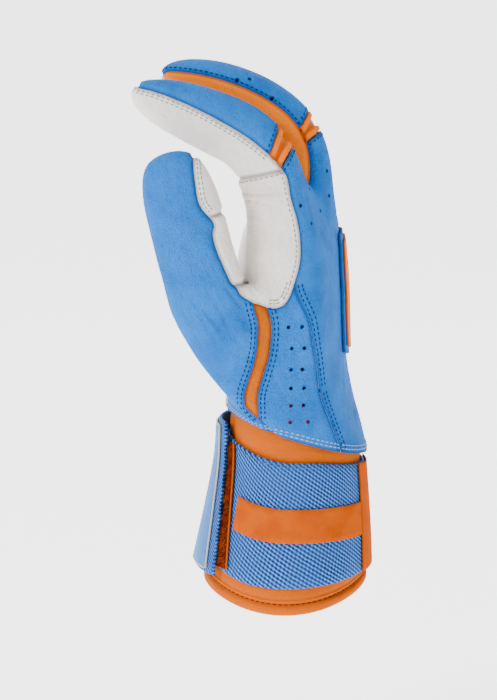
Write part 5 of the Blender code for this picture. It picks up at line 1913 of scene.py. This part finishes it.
def webbing(name, size):
    made, tree, shader = new_finish(name, WEB_MIDDLE, 0.6)
    place = measures(tree)
    shake = add_node(tree, "TexNoise", Scale=1 / (3 * MM), Detail=1.0)
    tree.links.new(place, shake.inputs["Vector"])
    shaken = add_node(tree, "VectorMath", {"operation": "MULTIPLY_ADD"})
    shaken.inputs[1].default_value = (0.0005, 0.0005, 0.0)
    tree.links.new(shake.outputs["Color"], shaken.inputs[0])
    tree.links.new(place, shaken.inputs[2])
    place = shaken.outputs[0]
    cords = wave(tree, stretched(tree, place, (1, 1, 1), WEAVE_SLANT), WEAVE_PERIOD * size)
    cross = wave(tree, stretched(tree, place, (1, 1, 1), WEAVE_CROSS_SLANT), WEAVE_CROSS * size)
    half_cross = calculate(tree, "MULTIPLY", cross, 0.5)
    lump = calculate(tree, "MULTIPLY", cords, calculate(tree, "ADD", half_cross, 0.5))
    gaps = calculate(tree, "ADD", cords, calculate(tree, "MULTIPLY", cross, 0.55))
    fibres = noise_value(tree, stretched(tree, place, (1, 5, 1), WEAVE_SLANT), 0.6 * MM, 3.0)
    add_bumps(tree, shader, ((lump, 0.45 * MM * size), (fibres, 0.05 * MM)))
    tone = mix_colour(tree, ramp(tree, lump, 0.25, 0.95), WEB_MIDDLE, WEB_LIGHT)
    tone = mix_colour(tree, ramp(tree, gaps, 0.25, 0.80, 1.0, 0.0), tone, WEB_DARK)
    patches = noise_value(tree, object_place(tree), 14 * MM, 3.0)
    tone = mix_colour(tree, ramp(tree, patches, 0.35, 0.7, 0.0, 0.35), tone, WEB_MIDDLE)
    tree.links.new(tone, shader.inputs["Base Color"])
    add_sheen(shader)
    return made


def add_band(node, angles, profile, finish, slot, closed=False):
    """A flat band carried round the wrist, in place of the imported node."""
    bm, _ = carry_round(angles, profile, closed)
    return add_piece("dressed_" + node, bm, (finish,), slot, (node,))


STRAP_SIDES = 168
STRAP_ROWS = 16
BLUE_WEBBING = webbing("blue_webbing", 1.0)
TAB_WEBBING = webbing("tab_webbing", 0.9)
strap_profile = band_profile(strap_foot, strap_top, LAYER_GAP, STRAP_WALL, STRAP_ROWS)
strap_angles = round_angles(STRAP_SIDES)
STRAP = add_band("strap", strap_angles, strap_profile, BLUE_WEBBING, "blue_webbing", closed=True)
print("strap:", len(STRAP.data.polygons), "faces")

# %% [markdown]
# The printed stripe and panel are a thin, smooth, rubbery film pressed onto the webbing. A trace of the
# weave comes through it, and its edge is soft. The stripe is a plain level band in this lesson.

# %% Printed film
PRINT_LIGHT = (0.450, 0.074, 0.0002)
PRINT_DARK = (0.380, 0.054, 0.0002)
PRINT_GLOSS = 0.005
FILM_STEP = 1.6


def printed_film():
    made, tree, shader = new_finish("orange_print", PRINT_LIGHT, 0.75)
    shader.inputs["Specular IOR Level"].default_value = PRINT_GLOSS
    place = measures(tree)
    cords = wave(tree, stretched(tree, place, (1, 1, 1), WEAVE_SLANT), WEAVE_PERIOD)
    grain = noise_value(tree, object_place(tree), 0.5 * MM, 3.0)
    slow = noise_value(tree, object_place(tree), 9 * MM, 3.0)
    add_bumps(tree, shader, ((slow, 0.5 * MM), (cords, 0.02 * MM), (grain, 0.03 * MM)))
    tone = mix_colour(tree, ramp(tree, slow, 0.35, 0.7), PRINT_LIGHT, PRINT_DARK)
    tone = mix_colour(tree, ramp(tree, grain, 0.3, 0.6, 0.25, 0.0), tone, PRINT_DARK)
    tree.links.new(tone, shader.inputs["Base Color"])
    tree.links.new(ramp(tree, grain, 0.3, 0.7, 0.62, 0.76), shader.inputs["Roughness"])
    return made


def stripe_low(angle):
    return blend(strap_foot(angle), strap_top(angle), 0.5) - STRIPE_WIDTH / 2


def stripe_high(angle):
    return stripe_low(angle) + STRIPE_WIDTH


ORANGE_PRINT = printed_film()
film_out = LAYER_GAP + STRAP_WALL + LAYER_GAP
Film = namedtuple("Film", "node start end low high rows")
FILMS = (
    Film("strap_stripe", STRIPE_START, STRIPE_END, stripe_low, stripe_high, STRAP_ROWS // 2),
    Film("strap_panel", PANEL_START, PANEL_END, strap_foot, strap_top, STRAP_ROWS),
)
for film in FILMS:
    count = round(abs(film.end - film.start) / FILM_STEP)
    profile = band_profile(film.low, film.high, film_out, STRIPE_WALL, film.rows)
    add_band(film.node, spread_degrees(film.start, film.end, count), profile, ORANGE_PRINT, "orange_print")
    print(film.node, "with", count, "sections")

# %% [markdown]
# Hook tape is a stiff brown band with hundreds of small hooks. From the side they look like a rough pile,
# so each hook here is only a tilted spike of a few faces. All of them are one mesh. A thin orange cord edges
# the band.

# %% Hook tape
HOOK_STEP = 0.72 * MM
HOOK_TALL = 0.75 * MM
HOOK_THICK = 0.34 * MM
HOOK_LIGHT = (0.240, 0.028, 0.001)
HOOK_DARK = (0.040, 0.003, 0.0005)
PILE_LIGHT = (0.42, 0.070, 0.004)
HOOK_SEED = 7
HOOK_SECTIONS = 14
HOOK_ENDS = 1.6 * MM
HOOK_FIRST = 0.9 * MM


def hook_finish(name, light, dark, size):
    made, tree, shader = new_finish(name, light, 0.7)
    pile = noise_value(tree, object_place(tree), size, 4.0)
    slow = noise_value(tree, object_place(tree), 4 * MM, 3.0)
    add_bumps(tree, shader, ((pile, 0.5 * MM),))
    tone = mix_colour(tree, ramp(tree, pile, 0.35, 0.68), dark, light)
    tone = mix_colour(tree, ramp(tree, slow, 0.35, 0.65, 0.0, 0.5), tone, dark)
    tree.links.new(tone, shader.inputs["Base Color"])
    return made


def level_at(value):
    return lambda angle: value


tab_lean = math.radians(TAB_LEAN)
tab_start = math.radians(TAB_START)
hook_start = tab_start - HOOK_WIDTH / WRIST_HALF_WIDTH
hook_low, hook_high = strap_foot(tab_start), strap_top(tab_start)
hook_profile = band_profile(level_at(hook_low), level_at(hook_high), film_out, HOOK_WALL, 18, tab_lean)
hook_angles = spread(hook_start, math.radians(HOOK_END), HOOK_SECTIONS)
HOOK_BAND = hook_finish("hook_band", HOOK_LIGHT, HOOK_DARK, 0.9 * MM)
add_band("hook_strip", hook_angles, hook_profile, HOOK_BAND, "hook_tape")


def leaning_point(angle, height, low, high, out):
    """A point on a leaning band, and the direction that points out from the wrist there."""
    middle, half = (low + high) / 2, (high - low) / 2
    turned = angle + tab_lean * (height - middle) / half
    place = wrist_point(turned, height, out)
    return place, (wrist_point(turned, height, out + 5 * MM) - place).normalized()


def add_hooks():
    bm = bmesh.new()
    chance = random.Random(HOOK_SEED)
    rows = int((hook_high - hook_low - HOOK_ENDS) / HOOK_STEP)
    columns = int(HOOK_WIDTH * 1.05 / HOOK_STEP)
    for row in range(rows):
        for column in range(columns):
            angle = hook_start + (column + 0.9 + chance.uniform(-0.3, 0.3)) * HOOK_STEP / WRIST_HALF_WIDTH
            height = hook_low + HOOK_FIRST + (row + chance.uniform(-0.3, 0.3)) * HOOK_STEP
            place, out = leaning_point(angle, height, hook_low, hook_high, film_out + HOOK_WALL)
            tilt = (out + Vector([chance.uniform(-0.45, 0.45) for _ in range(3)])).normalized()
            turn = tilt.to_track_quat("Z", "Y").to_matrix().to_4x4()
            turn.translation = place + tilt * HOOK_TALL * 0.35
            bmesh.ops.create_cone(
                bm, cap_ends=True, segments=5, radius1=HOOK_THICK / 2, radius2=HOOK_THICK * 0.32,
                depth=HOOK_TALL * chance.uniform(0.7, 1.1), matrix=turn,
            )
    pile_finish = hook_finish("hook_pile", PILE_LIGHT, HOOK_DARK, 2.2 * MM)
    add_piece("hook_pile", bm, (pile_finish,), "hook_tape")
    return rows * columns


print("hooks:", add_hooks())

# %% [markdown]
# Thin cords and piping are a circle carried along a line. Skin and Curve objects could do it as well, but
# the same extrusion as before keeps the mesh even. An orange cord edges the hook tape, and pale piping
# goes round the patch of the tab.

# %% Cords along an edge


def add_cord(name, points, width, finish, slot, sides=8):
    """A round cord through these points, closed at both ends."""
    bm = bmesh.new()
    shapes = []
    for number, point in enumerate(points):
        before, after = points[max(number - 1, 0)], points[min(number + 1, len(points) - 1)]
        turn = (after - before).to_track_quat("Z", "X").to_matrix()
        ring = [2 * math.pi * side / sides for side in range(sides)]
        shapes.append([point + turn @ Vector((math.cos(a), math.sin(a), 0)) * width / 2 for a in ring])
    rings = carry_loop(bm, shapes)
    for ring in (rings[0], rings[-1]):
        bmesh.ops.contextual_create(bm, geom=loop_edges(bm, ring))
    bmesh.ops.recalc_face_normals(bm, faces=bm.faces)
    add_piece(name, bm, (finish,), slot)


def leaning_line(angle, low, high, out, count=40):
    """Points up a leaning band, from its low edge to its high edge."""
    return [leaning_point(angle, height, low, high, out)[0] for height in spread(low, high, count)]


def level_line(start, end, height, low, high, out, count=40):
    """Points along a leaning band at one height, from angle to angle."""
    return [leaning_point(angle, height, low, high, out)[0] for angle in spread(start, end, count)]


CORD_WIDTH = 0.9 * MM
EDGE_CORD = thread_finish("orange_edge_cord", (0.46, 0.080, 0.001))
edge_line = leaning_line(hook_start, hook_low, hook_high, film_out + HOOK_WALL * 0.6)
add_cord("hook_edge", edge_line, CORD_WIDTH, EDGE_CORD, "hook_tape")

# %% [markdown]
# The free end of the strap is the tab. It is webbing again, a little finer, with a bare pale-blue patch of
# smooth sheet on it and a white piped edge.

# %% Tab and patch
TAB_ROWS = 20
tab_low, tab_high = STRAP_FOOT + TAB_LIFT, STRAP_FOOT + STRAP_HEIGHT + TAB_OVER
tab_out = film_out + HOOK_WALL + LAYER_GAP
tab_profile = band_profile(level_at(tab_low), level_at(tab_high), tab_out, TAB_WALL, TAB_ROWS, tab_lean)
add_band("tab", spread_degrees(TAB_START, TAB_END, 60), tab_profile, TAB_WEBBING, "blue_webbing")

PATCH_LIGHT = (0.055, 0.200, 0.480)
PATCH_SHADE = (0.040, 0.150, 0.390)


def patch_sheet():
    made, tree, shader = new_finish("pale_blue_patch", PATCH_LIGHT, 0.45)
    grain = noise_value(tree, object_place(tree), 0.6 * MM, 4.0)
    slow = noise_value(tree, object_place(tree), 12 * MM, 3.0)
    add_bumps(tree, shader, ((slow, 0.6 * MM), (grain, 0.05 * MM)))
    tone = mix_colour(tree, ramp(tree, slow, 0.35, 0.65), PATCH_SHADE, PATCH_LIGHT)
    tone = mix_colour(tree, ramp(tree, grain, 0.3, 0.6, 0.3, 0.0), tone, PATCH_SHADE)
    tree.links.new(tone, shader.inputs["Base Color"])
    return made


patch_out = tab_out + TAB_WALL + LAYER_GAP
patch_low, patch_high = tab_low + TAB_BORDER, tab_high - TAB_BORDER
patch_edges = level_at(patch_low), level_at(patch_high)
patch_profile = band_profile(*patch_edges, patch_out, STRIPE_WALL, TAB_ROWS, tab_lean)
patch_angles = spread_degrees(TAB_PATCH_START, TAB_PATCH_END, 50)
add_band("tab_patch", patch_angles, patch_profile, patch_sheet(), "pale_blue_patch")

PIPING = thread_finish("pale_piping", (0.56, 0.53, 0.50))
front, back = math.radians(TAB_PATCH_START), math.radians(TAB_PATCH_END)
piping = patch_low, patch_high, patch_out + STRIPE_WALL * 0.4
outline = leaning_line(front, *piping)
outline += level_line(front, back, patch_high, *piping)[1:]
outline += leaning_line(back, *piping)[::-1][1:]
outline += level_line(back, front, patch_low, *piping)[1:-1]
add_cord("tab_piping", outline, CORD_WIDTH, PIPING, "pale_blue_patch")
print("tab and patch made")

# %% [markdown]
# The cuff's hem is sewn with dark orange thread, which lies at the bottom of its groove. Blue thread keeps
# the strap's upper edge flat.

# %% Stitches of the cuff and the strap
RUST_THREAD = thread_finish("rust_thread", (0.20, 0.024, 0.001))
HEM_STITCHES = 88
HEM_STITCH_LENGTH = 1.7 * MM
HEM_STITCH_RISE = 0.16
STRAP_STITCHES = 118
STRAP_STITCH_LENGTH = 1.4 * MM
STRAP_STITCH_DROP = 1.6 * MM


def stitch_ring(name, finish, slot, count, height, out, length):
    """Stitches all round the wrist, at a height that depends on the angle."""
    bm = bmesh.new()
    for number in range(count):
        angle = 2 * math.pi * number / count
        place = wrist_point(angle, height(angle), out)
        normal = (wrist_point(angle, height(angle), out + 5 * MM) - place).normalized()
        ahead = wrist_point(angle + 0.01, height(angle + 0.01), out)
        add_stitch(bm, place, (ahead - place).normalized(), normal, length)
    add_piece(name, bm, (finish,), slot)


def groove_height(angle):
    return cuff_foot(angle) + GROOVE_HEIGHT * BINDING


groove_out = -(GROOVE_DEPTH - HEM_STITCH_RISE) * CUFF_WALL
stitch_ring(
    "cuff_hem_stitches", RUST_THREAD, "orange_knit", HEM_STITCHES,
    groove_height, groove_out, HEM_STITCH_LENGTH,
)
stitch_ring(
    "strap_edge_stitches", thread_finish("blue_thread", (0.05, 0.16, 0.45)), "blue_webbing", STRAP_STITCHES,
    lambda angle: strap_top(angle) - STRAP_STITCH_DROP, LAYER_GAP + STRAP_WALL, STRAP_STITCH_LENGTH,
)
print("wrist sewn")

# %% [markdown]
# On the back of the hand sits a raised patch: a leather plate with a soft orange face, both laid on the
# glove. A grid is dropped onto the leather's surface by ray casts, extruded upwards, and its rim bevelled.

# %% Patch on the back
PATCH_HEIGHT = 0.050
PATCH_WIDTH = 0.034
PATCH_MIDDLE = 0.123
PATCH_WALL = 0.0009
PATCH_FACE_WALL = 0.0006
PATCH_BORDER = 0.0025
PATCH_GAP = 0.0003
PATCH_DOME = 0.2 * MM
CORNER_ROUNDING = 0.16
RIM_ANGLE = math.radians(50)
Plate = namedtuple("Plate", "node width height out wall finish slot")
PLATES = (
    Plate("back_patch", PATCH_WIDTH, PATCH_HEIGHT, LAYER_GAP, PATCH_WALL, BLUE_LEATHER, "blue_leather"),
    Plate(
        "back_patch_face", PATCH_WIDTH - 2 * PATCH_BORDER, PATCH_HEIGHT - 2 * PATCH_BORDER,
        LAYER_GAP + PATCH_WALL + PATCH_GAP, PATCH_FACE_WALL, ORANGE_FLEX, "orange_rubber",
    ),
)


def on_the_back(y, z, out):
    """The place on the back of the hand at this width and height, raised by this much."""
    start = Vector((HAND_HALF_DEPTH * 3, y, z))
    return SURFACES["back_panel"].ray_cast(start, Vector((-1, 0, 0)))[0] + Vector((out, 0, 0))


def add_plate(plate):
    bm = bmesh.new()
    distance = bm.verts.layers.float.new("edge_distance")
    for vert in bmesh.ops.create_grid(bm, x_segments=26, y_segments=38, size=1.0)["verts"]:
        u, v = vert.co.x, vert.co.y
        # This distance to the plate's rim also sets the painted seam shade of its leather and flex sheet.
        vert[distance] = min(1 - abs(u), 1 - abs(v)) * plate.width / 2
        y = u * math.sqrt(1 - CORNER_ROUNDING * v * v) * plate.width / 2
        z = PATCH_MIDDLE + v * math.sqrt(1 - CORNER_ROUNDING * u * u) * plate.height / 2
        dome = (1 - u**4) * (1 - v**4) * PATCH_DOME
        vert.co = on_the_back(y, z, plate.out + dome)
    made = bmesh.ops.extrude_face_region(bm, geom=bm.faces[:])["geom"]
    top = {item for item in made if isinstance(item, bmesh.types.BMVert)}
    bmesh.ops.translate(bm, verts=list(top), vec=(plate.wall, 0, 0))
    bmesh.ops.recalc_face_normals(bm, faces=bm.faces)
    sharp = [edge for edge in bm.edges if edge.calc_face_angle(0) > RIM_ANGLE]
    rim = [edge for edge in sharp if set(edge.verts) <= top]
    bmesh.ops.bevel(
        bm, geom=rim, offset=plate.wall * 0.45, segments=3, profile=0.5, affect="EDGES", material=-1
    )
    add_piece("dressed_" + plate.node, bm, (plate.finish,), plate.slot, (plate.node,))


for plate in PLATES:
    add_plate(plate)
print("plates:", [plate.node for plate in PLATES])
